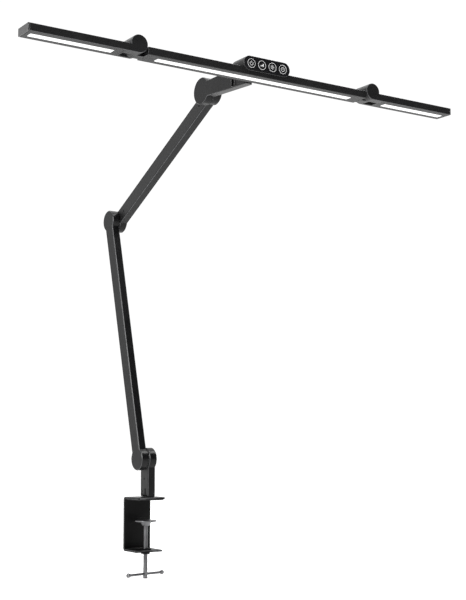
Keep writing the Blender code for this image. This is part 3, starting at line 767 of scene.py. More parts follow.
@dataclass
class Gloss(Finish):
    """A smooth black face with faint wiping marks, and rims painted lighter as a painted highlight."""

    colour: Colour = (0.006, 0.006, 0.007)
    roughness: tuple[float, float] = (0.10, 0.24)

    def fill(self, tree: Tree) -> None:
        """Long soft wiping marks and fingertip-sized clouds change the roughness, and the rounded rims get a
        painted highlight in the colour.

        Args:
            tree: the material's empty node tree.
        """
        wipe = tree.noise(0.02, 4, tree.place((0, 0.4, 0), (0.25, 1, 3)))
        touch = tree.noise(0.012, 2).within(0.45, 0.7)
        low, high = self.roughness
        colour = tree.blend(wipe.within(0.3, 0.8), self.colour, (0.011, 0.011, 0.012))
        mark = (wipe.within(0.35, 0.75) * 0.6) + touch * 0.4
        tree.surface(
            # Rounded rims painted lighter: painted highlight.
            Base_Color=tree.blend(tree.edge() * 0.4, colour, (0.03, 0.03, 0.03)),
            Roughness=low + (high - low) * mark,
            Normal=tree.bump(tree.noise(0.009, 2), 0.00002),
        )


@dataclass
class Metal(Finish):
    """Turned and plated steel: fine rings or streaks, clouds in the plating, edges painted lighter as a painted
    highlight, and flats and thread grooves left darker as painted shade.
    """

    colour: Colour = (0.165, 0.165, 0.170)
    cloud_colour: Colour = (0.115, 0.115, 0.119)
    roughness: tuple[float, float] = (0.28, 0.46)
    streak: Point = (0.15, 0.15, 6.0)
    streak_depth: float = 0.00002

    def fill(self, tree: Tree) -> None:
        """Streaks stretch noise across the turning direction, and edges are painted brighter than hollows: painted
        highlight and painted shade.

        Args:
            tree: the material's empty node tree.
        """
        streak = tree.noise(0.0022, 3, tree.place(scale=self.streak))
        cloud = tree.noise(0.012, 4)
        low, high = self.roughness
        colour = tree.blend(cloud.within(0.25, 0.75), self.colour, self.cloud_colour)
        # Painted highlight on edges and thread crests; flats and grooves stay darker as painted shade.
        edge_highlight_colour = tuple(min(1.0, c * 1.35) for c in self.colour)
        tree.surface(
            Base_Color=tree.blend(tree.edge() * 0.6, colour, edge_highlight_colour),
            Metallic=1.0,
            Roughness=low + (high - low) * (streak * 0.6 + cloud * 0.4),
            Normal=tree.bump(streak, self.streak_depth),
        )


@dataclass
class Glow(Finish):
    """A lit diffuser: opal plastic with faint brighter spots over the lamps behind it."""

    colour: Colour = (0.50, 0.50, 0.49)
    light: float = 0.55
    pitch: float = 0.0095

    def fill(self, tree: Tree) -> None:
        """Emission follows a wave along X with the pitch of the lamps.

        Args:
            tree: the material's empty node tree.
        """
        sockets = {"Vector": tree.place(), "Scale": math.pi / 10 / self.pitch, "Distortion": 0.0}
        wave = tree.add("ShaderNodeTexWave", {"bands_direction": "X"}, sockets).outputs["Fac"]
        spots = Value(tree, wave) * 0.5 + tree.noise(0.03, 2) * 0.5
        grain = tree.noise(0.0006, 2)
        tree.surface(
            Base_Color=tree.blend(tree.noise(0.02, 3), self.colour, (0.54, 0.54, 0.54)),
            Roughness=0.32 + 0.12 * grain,
            Emission_Color=tree.blend(spots, (0.93, 0.94, 0.95), (1.0, 1.0, 1.0)),
            Emission_Strength=self.light,
            Normal=tree.bump(grain, 0.00001),
        )


@dataclass
class Board(Finish):
    """A white circuit board with faint tracks."""

    colour: Colour = (0.72, 0.73, 0.70)
    track: Colour = (0.52, 0.56, 0.50)

    def fill(self, tree: Tree) -> None:
        """Straight bands stand for tracks under the white mask.

        Args:
            tree: the material's empty node tree.
        """
        sockets = {"Vector": tree.place(), "Scale": 90.0, "Distortion": 0.4}
        wave = tree.add("ShaderNodeTexWave", {"bands_direction": "Y"}, sockets).outputs["Fac"]
        tracks = Value(tree, wave).within(0.55, 0.7)
        tree.surface(
            Base_Color=tree.blend(tracks * 0.6, self.colour, self.track),
            Roughness=0.3 + 0.25 * tree.noise(0.004, 3),
            Normal=tree.bump(tracks, 0.00003),
        )


FINISHES: dict[str, Finish] = {
    # Arm, clamp and bar paints keep the default light edge colour: a painted highlight along their chamfers as
    # well as wear.
    "arm_black": Coating("satin_black_paint"),
    "clamp_black": Coating(
        "clamp_paint",
        colour=(0.0030, 0.0030, 0.0030),
        cloud_colour=(0.0048, 0.0048, 0.0048),
        specular=0.09,
        roughness=(0.34, 0.44),
        grain=0.0011,
        grain_depth=0.00005,
    ),
    "plastic_black": Coating(
        "moulded_black_plastic",
        colour=(0.0065, 0.0065, 0.0068),
        cloud_colour=(0.0090, 0.0090, 0.0093),
        worn_edge_and_highlight=(0.022, 0.022, 0.023),
        specular=0.24,
        roughness=(0.40, 0.48),
        rubbed_roughness=0.32,
        grain=0.0005,
    ),
    "fascia_black": Gloss("gloss_black_fascia"),
    "steel": Metal("plated_steel"),
    "dark_steel": Metal(
        "black_oxide_steel",
        colour=(0.011, 0.011, 0.012),
        cloud_colour=(0.007, 0.007, 0.008),
        roughness=(0.38, 0.55),
    ),
    "rubber_black": Coating(
        "black_rubber",
        colour=(0.011, 0.011, 0.011),
        cloud_colour=(0.017, 0.017, 0.017),
        worn_edge_and_highlight=(0.03, 0.03, 0.03),
        roughness=(0.72, 0.86),
        rubbed_roughness=0.66,
        grain=0.0009,
        grain_depth=0.00008,
        dust=0.05,
    ),
    "nylon_white": Coating(
        "natural_nylon",
        colour=(0.55, 0.55, 0.52),
        cloud_colour=(0.62, 0.61, 0.57),
        worn_edge_and_highlight=(0.7, 0.7, 0.67),
        roughness=(0.45, 0.6),
        rubbed_roughness=0.4,
        grain=0.0008,
        dust=0.0,
    ),
    "diffuser_white": Glow("opal_diffuser"),
    "board_white": Board("lamp_board"),
}
# The bar's paint is a lighter copy of the arms' satin black, which paints extra light onto the bar's faces.
BAR_PAINT_WITH_PAINTED_LIGHT = Coating(
    "satin_black_bar_painted_light",
    colour=(0.0125, 0.0125, 0.0128),
    cloud_colour=(0.0160, 0.0160, 0.0164),
)
CAP_PLASTIC = Coating(
    "bright_end_cap_plastic",
    colour=(0.0150, 0.0150, 0.0153),
    cloud_colour=(0.0190, 0.0190, 0.0194),
    worn_edge_and_highlight=(0.04, 0.04, 0.041),
    specular=0.75,
    roughness=(0.30, 0.38),
)
OWN_FINISHES: dict[str, Finish] = {
    "centre_housing": BAR_PAINT_WITH_PAINTED_LIGHT,
    "left_wing_housing": BAR_PAINT_WITH_PAINTED_LIGHT,
    "right_wing_housing": BAR_PAINT_WITH_PAINTED_LIGHT,
    "left_wing_end_cap": CAP_PLASTIC,
    "right_wing_end_cap": CAP_PLASTIC,
}


def finish_of(slot: str, *nodes: str) -> Finish:
    """The finish of a piece: its first node's own one, or else its slot's."""
    return OWN_FINISHES.get(nodes[0], FINISHES[slot]) if nodes else FINISHES[slot]


# Sub-assemblies -------------------------------------------------------------------------------------


RECORD = frame["record"]
BODY_OF = {node: body for body, nodes in RECORD["behaviour"]["bodies"].items() for node in nodes}
SLOT_OF = {row["node"]: row["material_slot"] for row in RECORD["subparts"]}


def headed(head: float, shank: float, face: float, seat: float, tip: float, rim: float = 0.0003) -> Skin:
    """A screw or pin with a round socket in its head.

    Args:
        head: radius of the head.
        shank: radius of the shank.
        face: height of the head's outer face.
        seat: height where the head ends.
        tip: height of the shank's end.
        rim: how much the edges are rounded.

    Returns:
        The surface, turned round the local w.
    """
    into = math.copysign(min(abs(face - seat) * 0.6, head), seat - face)
    socket = [(0, face + into), (head * 0.5, face + into), (head * 0.5, face)]
    body = [(head, face), (head, seat), (shank, seat), (shank, tip), (0, tip)]
    return turned(soften(socket + body, rim, False), 32)


def stepped_bore(wide: float, narrow: float, outside: float, seat: float, inside: float) -> Skin:
    """A cutter for a hole with a wider recess: wide from outside to seat, and narrow from there on."""
    corners = [(0, outside), (wide, outside), (wide, seat), (narrow, seat), (narrow, inside), (0, inside)]
    return turned(Path(np.array(corners, float), np.zeros(6)), 48)


def washer(inner: float, outer: float, low: float, high: float) -> Skin:
    """A flat ring with softened edges, around the local w."""
    return turned(soften([(inner, low), (outer, low), (outer, high), (inner, high)], 0.0003), ring=True)


def spindle_bore() -> float:
    """Radius of a hole round the shank of the base spindle."""
    return span("base_spindle", 0)[1] * SHANK_SHARE + GAP


def block(low: Sequence[float], high: Sequence[float]) -> Skin:
    """A plain cutter between two corners."""
    return slab(rectangle(low[:2], high[:2]), low[2], high[2])


@dataclass
class SubAssembly:
    """Pieces that are built together, each with its body, its slot and the frame nodes that it replaces."""

    made: list[tuple[bpy.types.Object, str, str, tuple[str, ...]]] = field(default_factory=list, init=False)

    def fine(self, node: str, *skins: Skin) -> bpy.types.Object:
        """A fine piece in place of a frame node.

        Args:
            node: the frame node.
            skins: the piece's surfaces, in the frame.

        Returns:
            The piece.
        """
        made = mesh_object(f"{node}_fine", skins)
        self.made.append((made, BODY_OF[node], SLOT_OF[node], (node,)))
        return made

    def detail(self, name: str, beside: str, slot: str, *skins: Skin) -> bpy.types.Object:
        """A detail of its own, on the body of the node beside it.

        Args:
            name: the piece's name.
            beside: the frame node that it moves with.
            slot: the record's material slot.
            skins: its surfaces, in the frame.

        Returns:
            The piece.
        """
        made = mesh_object(name, skins)
        self.made.append((made, BODY_OF[beside], slot, ()))
        return made

    def build(self) -> None:
        """Make the meshes."""
        raise NotImplementedError

    def dress(self) -> None:
        """Give every piece its finish and its place on a body."""
        for made, body, slot, nodes in self.made:
            finish_piece(made, body, slot, *nodes)


@dataclass
class Clamp(SubAssembly):
    """The bent plate under the desk lamp, with its desk pad, bush, screw, pressure pad and handle."""

    plate: float = 0.0035
    bend: float = 0.006
    corner: float = 0.0024
    lower_depth: float = 0.0485
    screw_radius: float = 0.004
    bush_radius: float = 0.008
    bush_collar: float = 0.002
    thread_pitch: float = 0.002
    thread_depth: float = 0.0005
    plain_tail: float = 0.017
    pad_rim: float = 0.0026
    hub_radius: float = 0.0107
    hub_neck: float = 0.0065
    handle_radius: float = 0.00225
    cap_length: float = 0.007

    def build(self) -> None:
        """Make the plate, then what is on it from the desk downwards."""
        self.build_plate()
        self.build_base()
        self.build_screw()
        self.build_handle()

    def build_plate(self) -> None:
        """Sheet of even thickness along a line with two round bends."""
        half = self.plate / 2
        x0, x1 = span("clamp_bracket", 0)
        y0, y1 = span("clamp_bracket", 1)
        z0, z1 = span("clamp_bracket", 2)
        back = y1 - half
        corners = [(y0, z1 - half), (back, z1 - half), (back, z0 + half), (y1 - self.lower_depth, z0 + half)]
        line = soften(corners, self.bend - half, False, 10)
        sheet = bent_strip(line, (x1 - x0) / 2, self.plate, self.corner, 0.0007).at(along_x())
        made = self.fine("clamp_bracket", sheet)
        bore = rod(spindle_bore(), z1 - self.plate - PAST, z1 + PAST).at(along_z())
        y = middle("screw_bush", 1)
        bush = rod(self.bush_radius + GAP, z0 - PAST, z0 + self.plate + PAST).at(along_z(0, y))
        shape(made, Join.CUT, bore, bush)

    def build_base(self) -> None:
        """The desk pad under the upper jaw and the washer that the post turns on; the spindle stays as the frame's
        node.
        """
        (x0, x1), (y0, y1), (z0, z1) = (span("desk_pad", axis) for axis in range(3))
        outline = soften(rectangle((x0, y0), (x1, y1)), 0.002).points
        self.fine("desk_pad", slab(outline, z0, z1, 0.0003))
        low, high = span("base_washer", 2)
        self.fine("base_washer", washer(spindle_bore(), span("base_washer", 0)[1], low, high))

    def build_screw(self) -> None:
        """The bush, the pressure pad with its hub, and the threaded screw with its cross hole."""
        at = along_z(0, middle("clamp_screw", 1))
        low, high = span("screw_bush", 2)
        flange = (span("screw_bush", 0)[1] - span("screw_bush", 0)[0]) / 2
        inner, step = self.screw_radius + GAP, high - self.bush_collar
        corners = [(inner, low), (self.bush_radius, low), (self.bush_radius, step)]
        corners += [(flange, step), (flange, high), (inner, high)]
        self.fine("screw_bush", turned(soften(corners, 0.0004), ring=True).at(at))
        low, top = span("pressure_pad", 2)
        low_screw, high_screw = span("clamp_screw", 2)
        radius = (span("pressure_pad", 0)[1] - span("pressure_pad", 0)[0]) / 2
        rim = top - self.pad_rim
        socket = high_screw + GAP
        corners = [(0, top), (radius, top), (radius, rim), (self.hub_radius, rim), (self.hub_neck, low)]
        corners += [(inner, low), (inner, socket), (0, socket)]
        rounding = [0, 0.001, 0.0008, 0.0008, 0.0009, 0.0003, 0, 0]
        self.fine("pressure_pad", turned(soften(corners, rounding, False), 96).at(at))
        thread = threaded_rod(
            self.screw_radius, self.thread_pitch, self.thread_depth, low_screw, high_screw, self.plain_tail
        )
        screw = self.fine("clamp_screw", thread.at(at))
        shape(screw, Join.CUT, rod(self.handle_radius + GAP, -0.01, 0.01).at(self.handle_stand()))

    def handle_stand(self) -> Stand:
        """Lengths run along the handle, whose direction is its sliding joint's axis."""
        axis = next(j["axis"] for j in frame["joints"] if j["name"] == "handle_slide")
        origin = (0.0, middle("clamp_handle", 1), middle("clamp_handle", 2))
        return Stand(origin, (-axis[1], axis[0], 0), (0, 0, 1), (axis[0], axis[1], 0))

    def build_handle(self) -> None:
        """The sliding bar and a turned cap on each end, with a groove behind its crown."""
        stand = self.handle_stand()
        direction = np.array(stand.w)
        (x0, x1), (y0, y1) = span("clamp_handle", 0), span("clamp_handle", 1)
        inside = (x1 - x0 - 2 * self.handle_radius * abs(direction[1])) / 2 / direction[0]
        self.fine("clamp_handle", rod(self.handle_radius, -inside, inside, 0.0004, 32).at(stand))
        low, high = span("handle_cap_left", 2)
        radius = (high - low) / 2
        for side, name in ((-1, "handle_cap_left"), (1, "handle_cap_right")):
            near, far = inside + GAP, inside + self.cap_length
            waist = near + self.cap_length * 0.3
            corners = [(0, near), (radius * 0.72, near), (radius * 0.72, waist), (radius, waist + 0.0008)]
            corners += [(radius, far), (0, far)]
            profile = soften(corners, [0, 0.0004, 0.0005, 0.0006, 0.0016, 0], False, 6)
            profile.points[:, 1] *= side
            self.fine(name, turned(profile, 40).at(stand))


def link_outline(length: float, end: float, half_width: float, inset: float = 0.0) -> Array:
    """An arm from the side: a round end on each pivot, joined by straight sides.

    Args:
        length: from pivot to pivot.
        end: radius of the round ends.
        half_width: half the width between the sides.
        inset: how far the whole outline moves inwards.

    Returns:
        One point a row.
    """
    radius, half = end - inset, half_width - inset
    meet = math.acos(half / radius)
    low = arc((0, 0), radius, math.pi - meet, math.tau + meet, 56)
    return np.concatenate([low, arc((0, length), radius, -meet, math.pi + meet, 56)])


@dataclass
class Link(SubAssembly):
    """What an arm and the post have in common: a shell, a cover that closes it, and small screws."""

    end_radius: float = 0.020
    wall: float = 0.0018
    rim: float = 0.0015
    cover_rim: float = 0.0004
    counterbore: float = 0.0014
    screw_inset: float = 0.035
    boss_radius: float = 0.0034

    def outline(self, inset: float = 0.0) -> Array:
        """The side view, in the link's own directions."""
        raise NotImplementedError

    def cutters(self, face: float, inner: float, side: int, pivots: Sequence[float]) -> list[Skin]:
        """Bores for the pivot bolts, with recesses for their friction washers in the cover's face.

        Args:
            face: where the cover's outer face is along X.
            inner: where its inner face is.
            side: which way along X the outer face looks, 1 or -1.
            pivots: heights of the pivots along the link.

        Returns:
            One cutter for each pivot, in the link's own directions.
        """
        past, seat, far = face + side * PAST, face - side * WASHER_RECESS, inner - side * PAST
        bore = stepped_bore(PIVOT_WASHER + GAP, PIVOT_BOLT + GAP, past, seat, far)
        return [self.across(bore, height) for height in pivots]

    def across(self, skin: Skin, height: float, y: float = 0.0) -> Skin:
        """A turned surface with its axis along X, at a height along the link."""
        points = np.stack([skin.points[:, 0] + y, skin.points[:, 1] + height, skin.points[:, 2]], axis=1)
        return Skin(points, skin.faces, skin.edge)


@dataclass
class Arm(Link):
    """One of the two long arms."""

    name: str = ""
    start: str = ""
    end: str = ""
    side: int = 1
    half_width: float = 0.0135

    def __post_init__(self) -> None:
        """Find the pivots and the arm's direction from the joints."""
        first, second = joint_place(self.start), joint_place(self.end)
        first[0] = second[0] = 0.0
        self.length = float(np.linalg.norm(second - first))
        along = (second - first) / self.length
        across = (0.0, float(along[2]), float(-along[1]))
        self.stand = Stand(tuple(first.tolist()), across, tuple(along.tolist()), (1.0, 0.0, 0.0))

    def outline(self, inset: float = 0.0) -> Array:
        """Round ends on both pivots."""
        return link_outline(self.length, self.end_radius, self.half_width, inset)

    def build(self) -> None:
        """The shell with its screw bosses, its cover, and the screws."""
        side = self.side
        low, high = span(f"{self.name}_shell", 0)
        open_face, closed_face = (high, low) if side > 0 else (low, high)
        cover = span(f"{self.name}_cover", 0)
        inner = cover[0] if side > 0 else cover[1]
        body = slab(self.outline(), low, high, self.rim, 2, True)
        shell = self.fine(f"{self.name}_shell", body.at(self.stand))
        floor = closed_face + side * self.wall
        hollow = slab(self.outline(self.wall), *sorted((floor, open_face + side * PAST)))
        shape(shell, Join.CUT, hollow.at(self.stand))
        plate = slab(self.outline(self.wall + GAP), *cover, self.cover_rim)
        plate_piece = self.fine(f"{self.name}_cover", plate.at(self.stand))
        bores = self.cutters(open_face, inner, side, (0.0, self.length))
        for height in (self.screw_inset, self.length - self.screw_inset):
            past, seat = open_face + side * PAST, open_face - side * self.counterbore
            hole = stepped_bore(SMALL_HEAD + GAP, SMALL_SHANK + GAP, past, seat, inner - side * PAST)
            bores.append(self.across(hole, height))
            top, root = inner - side * GAP, floor - side * self.wall / 2
            boss = rod(self.boss_radius, *sorted((root, top)), 0.0, 32)
            shape(shell, Join.ADD, self.across(boss, height).at(self.stand))
            ends = sorted((root + side * self.wall / 2, top + side * PAST))
            drill = rod(SMALL_SHANK + GAP, *ends, 0.0, 24)
            shape(shell, Join.CUT, self.across(drill, height).at(self.stand))
        shape(plate_piece, Join.CUT, *(bore.at(self.stand) for bore in bores))
        for height, end in ((self.screw_inset, "low"), (self.length - self.screw_inset, "high")):
            node = f"{self.name}_screw_{end}"
            tip, head = span(node, 0) if side > 0 else span(node, 0)[::-1]
            seat = open_face - side * (self.counterbore - GAP)
            screw = headed(SMALL_HEAD, SMALL_SHANK, head, seat, tip, 0.0002)
            self.fine(node, self.across(screw, height).at(self.stand))


@dataclass
class Post(Link):
    """The post that stands on the clamp, with its cord slot and the two screws beside it."""

    half_width: float = 0.01375
    floor: float = 0.0015
    slot_width: float = 0.0045
    slot_height: float = 0.014
    relief_radius: float = 0.0009
    grommet_wall: float = 0.0008

    def __post_init__(self) -> None:
        """Find the foot and the shoulder."""
        self.foot = span("post_shell", 2)[0]
        self.shoulder = float(joint_place("shoulder")[2])
        self.stand = along_x()

    def outline(self, inset: float = 0.0) -> Array:
        """A round end on the shoulder and a square foot."""
        radius, half = self.end_radius - inset, self.half_width - inset
        meet = math.acos(half / radius)
        foot = np.array([(-half, self.foot + inset), (half, self.foot + inset)])
        return np.concatenate([foot, arc((0, self.shoulder), radius, -meet, math.pi + meet, 56)])

    def build(self) -> None:
        """The shell, the cover with its holes and slot, the grommet and the screws."""
        low, high = span("post_shell", 0)
        inner = span("post_cover", 0)[1]
        shell = self.fine("post_shell", slab(self.outline(), low, high, self.rim, 2, True).at(self.stand))
        cavity = self.outline(self.wall)
        cavity[:2, 1] = self.foot + self.floor
        recess = slab(self.outline(self.wall), low - PAST, inner + GAP)
        bore = rod(spindle_bore(), self.foot - PAST, self.foot + self.floor + PAST).at(along_z())
        y = middle("cord_grommet", 1)
        half, top = self.slot_width / 2, self.foot + self.slot_height
        slot = block((low - PAST, y - half, self.foot - PAST), (inner + GAP, y + half, top))
        hollow = slab(cavity, low - PAST, high - self.wall)
        shape(shell, Join.CUT, hollow.at(self.stand), recess.at(self.stand), bore, slot)
        self.build_boss(shell, high - self.wall, inner)
        cover = slab(self.outline(self.wall + GAP), low, inner, self.cover_rim)
        plate = self.fine("post_cover", cover.at(self.stand))
        holes = self.cutters(low, inner, -1, (self.shoulder,))
        past, seat = low - PAST, low + self.counterbore
        hole = stepped_bore(SMALL_HEAD + GAP, SMALL_SHANK + GAP, past, seat, inner + PAST)
        holes.append(self.across(hole, self.shoulder - self.screw_inset))
        for node in ("relief_screw_high", "relief_screw_low"):
            small = rod(self.relief_radius + GAP, low - PAST, inner + PAST, 0.0, 24)
            holes.append(self.across(small, middle(node, 2), middle(node, 1)))
            near, far = span(node, 0)
            screw = headed(self.relief_radius, self.relief_radius * 0.8, near, near + 0.001, far, 0.0001)
            self.fine(node, self.across(screw, middle(node, 2), middle(node, 1)).at(self.stand))
        shape(plate, Join.CUT, slot, *(hole.at(self.stand) for hole in holes))
        self.build_grommet(low, inner)
        near, far = span("post_screw", 0)
        seat = low + self.counterbore - GAP
        screw = headed(SMALL_HEAD, SMALL_SHANK, near, seat, far, 0.0002)
        self.fine("post_screw", self.across(screw, self.shoulder - self.screw_inset).at(self.stand))

    def build_boss(self, shell: bpy.types.Object, floor: float, inner: float) -> None:
        """The tube that the cover's screw bites into.

        Args:
            shell: the post's shell.
            floor: where the shell's inner face is along X.
            inner: where the cover's inner face is.
        """
        height = self.shoulder - self.screw_inset
        boss = rod(self.boss_radius, inner + GAP, floor + self.wall / 2, 0.0, 32)
        drill = rod(SMALL_SHANK + GAP, inner - PAST, floor, 0.0, 24)
        shape(shell, Join.ADD, self.across(boss, height).at(self.stand))
        shape(shell, Join.CUT, self.across(drill, height).at(self.stand))

    def build_grommet(self, low: float, inner: float) -> None:
        """A soft frame round the slot, open at its foot.

        Args:
            low: where the cover's outer face is along X.
            inner: where its inner face is.
        """
        (y0, y1), (z0, z1) = span("cord_grommet", 1), span("cord_grommet", 2)
        wall = self.grommet_wall
        outline = soften(rectangle((y0, z0), (y1, z1)), [0, 0, 0.001, 0.001]).points
        made = self.fine("cord_grommet", slab(outline, low, inner, 0.0002).at(self.stand))
        opening = rectangle((y0 + wall, z0 - PAST), (y1 - wall, z1 - wall))
        opening = soften(opening, [0, 0, 0.0006, 0.0006]).points
        shape(made, Join.CUT, slab(opening, low - PAST, inner + PAST).at(self.stand))


@dataclass
class Pivots(SubAssembly):
    """The friction washers that show in the gaps between arms. Bolts and nuts are out of sight."""

    def build(self) -> None:
        """A washer with rounded edges at each pivot."""
        for name, hinge in (("shoulder", "shoulder"), ("elbow", "elbow"), ("head", "head_tilt")):
            node = f"{name}_washer"
            low, high = span(node, 0)
            outer = (span(node, 1)[1] - span(node, 1)[0]) / 2
            _, y, z = joint_place(hinge)
            self.fine(node, washer(PIVOT_BOLT + GAP, outer, low, high).at(along_x(y, z)))


@dataclass
class Head(SubAssembly):
    """The bracket at the end of the upper arm, and the ribbed barrel that the light bar swings on.

    Outlines are in Y and Z from the lower front edge of the light bar.
    """

    cavity_radius: float = 0.0182
    top: float = 0.0338
    foot_rear: float = 0.007
    foot_front: float = -0.0004
    upper_tip: float = 0.0645
    throat_gap: float = 0.0085
    upper_lug: float = 0.003
    lower_lug: float = 0.005
    lower_tip: float = 0.0395
    wall: float = 0.0018
    rim: float = 0.0011
    barrel: float = 0.0065
    ribs: int = 22
    rib_depth: float = 0.00055
    tongue: float = 0.0055
    pin: float = 0.0025
    pin_head: float = 0.0045
    bar_depth: float = 0.035
    yoke_plate: float = 0.003
    counterbore: float = 0.0014

    def __post_init__(self) -> None:
        """Find the pivot, the swivel axis and the edge of the bar."""
        self.y0, self.z0 = span("centre_housing", 1)[0], span("centre_housing", 2)[0]
        pivot = joint_place("head_tilt")
        self.reach, self.height = float(pivot[1]) - self.y0, float(pivot[2]) - self.z0
        self.radius = span("head_bracket", 1)[1] - float(pivot[1])
        self.swivel = float(joint_place("bar_swivel")[1]) - self.y0
        self.throat = self.swivel + self.throat_gap
        self.x = middle("head_bracket", 0)

    def foot_height(self, y: float) -> float:
        """The underside falls in a straight line towards the bar."""
        rear = self.reach - self.radius
        return self.foot_rear + (self.foot_front - self.foot_rear) * (rear - y) / (rear - self.bar_depth)

    def side_outline(self) -> Array:
        """A round end on the pivot and two lugs at the front."""
        down = self.height - self.foot_height(self.reach - self.radius)
        start = math.pi + math.asin(down / self.radius)
        end = math.tau + math.pi - math.asin((self.top - self.height) / self.radius)
        front = [
            (self.upper_tip, self.top),
            (self.upper_tip, self.top - self.upper_lug),
            (self.throat, self.top - self.upper_lug),
            (self.throat, self.lower_lug),
            (self.lower_tip, self.lower_lug),
            (self.lower_tip, self.foot_height(self.lower_tip)),
        ]
        ends = [(self.throat, self.top)], [(self.throat, 0)]
        front = soften(ends[0] + front + ends[1], [0, 0, 0, 0.002, 0.002, 0, 0, 0], False)
        rear = arc((self.reach, self.height), self.radius, start, end, 64)
        return np.concatenate([rear, front.points[1:-1]])

    def build(self) -> None:
        """The bracket, its cover, the swivel pin, and the yoke."""
        self.build_bracket()
        self.build_pin()
        self.build_yoke()

    def build_bracket(self) -> None:
        """The side view with rounded rims, trimmed to a round nose in plan."""
        low, high = span("head_bracket", 0)
        half = (high - low) / 2
        stand = along_x(self.y0, self.z0)
        bracket = self.fine("head_bracket", slab(self.side_outline(), low, high, self.rim, 2, True).at(stand))
        nose, wide, back = self.lower_tip + half, half + GAP, self.reach + self.radius + PAST
        plan = arc((0, nose), half, math.pi, math.tau, 40)
        shoulder = nose + PAST
        rest = np.array([(wide, shoulder), (wide, back), (-wide, back), (-wide, shoulder)])
        plan = slab(np.concatenate([plan, rest]), -PAST, self.top + self.radius)
        shape(bracket, Join.KEEP, plan.at(along_z(self.x, self.y0, self.z0)))
        place = along_x(self.y0 + self.reach, self.z0 + self.height)
        cavity = rod(self.cavity_radius, low + self.wall, high + PAST, 0.0, 96)
        foot = self.lower_lug - self.pin / 2 - GAP
        bore = rod(self.pin + GAP, foot, self.top + PAST, 0.0, 40)
        at = along_z(self.x, self.y0 + self.swivel, self.z0)
        shape(bracket, Join.CUT, cavity.at(place), bore.at(at))
        inner, face = span("bracket_cover", 0)
        plate = self.fine("bracket_cover", rod(self.cavity_radius - GAP, inner, face, 0.0004, 96).at(place))
        seat = face - WASHER_RECESS
        hole = stepped_bore(PIVOT_WASHER + GAP, PIVOT_BOLT + GAP, face + PAST, seat, inner - PAST)
        shape(plate, Join.CUT, hole.at(place))

    def build_pin(self) -> None:
        """The swivel pin, with a low head on the upper lug."""
        low, high = span("swivel_pin", 2)
        seat = self.z0 + self.top + GAP
        at = along_z(self.x, self.y0 + self.swivel)
        self.fine("swivel_pin", headed(self.pin_head, self.pin, high, seat, low, 0.0004).at(at))

    def build_yoke(self) -> None:
        """A plate on the back of the bar whose ribbed barrel turns between the lugs.

        The barrel's radius is barrel - depth * (1 - cos(ribs * angle)) / 2.
        """
        (x0, x1), (y0, _), (z0, z1) = (span("swivel_yoke", axis) for axis in range(3))
        plate = self.yoke_plate
        outline = soften(rectangle((x0, z0), (x1, z1)), 0.002).points
        yoke = self.fine("swivel_yoke", slab(outline, y0, y0 + plate, 0.0006).at(along_y()))
        meet = math.asin(self.tongue / self.barrel)
        angle = np.linspace(meet - math.pi / 2, math.pi * 3 / 2 - meet, 220)
        reach = self.barrel - self.rib_depth * (1 - np.cos(self.ribs * angle)) / 2
        centre = (self.x, self.y0 + self.swivel)
        round_part = np.stack([centre[0] + reach * np.cos(angle), centre[1] + reach * np.sin(angle)], axis=1)
        web = [(self.x - self.tongue, y0 + plate / 2), (self.x + self.tongue, y0 + plate / 2)]
        low = self.z0 + self.lower_lug + GAP
        high = min(self.z0 + self.top - self.upper_lug - GAP, z1 - 0.001)
        shape(yoke, Join.ADD, slab(np.concatenate([round_part, web]), low, high).at(along_z()))
        bore = rod(self.pin + GAP, low - PAST, high + PAST, 0.0, 40).at(along_z(*centre))
        cuts = [bore]
        for node in ("yoke_screw_left", "yoke_screw_right"):
            tip, face = span(node, 1)
            at = along_y(middle(node, 0), middle(node, 2))
            past, seat = y0 + plate + PAST, y0 + plate - self.counterbore
            cuts.append(stepped_bore(SMALL_HEAD + GAP, SMALL_SHANK + GAP, past, seat, y0 - PAST).at(at))
            self.fine(node, headed(SMALL_HEAD, SMALL_SHANK, face, seat + GAP, tip, 0.0002).at(at))
        shape(yoke, Join.CUT, *cuts)


class Symbol(Enum):
    """Generic signs on the touch keys, from left to right."""

    POWER = -0.030
    LEVELS = -0.010
    BRIGHTNESS = 0.010
    TIMER = 0.030


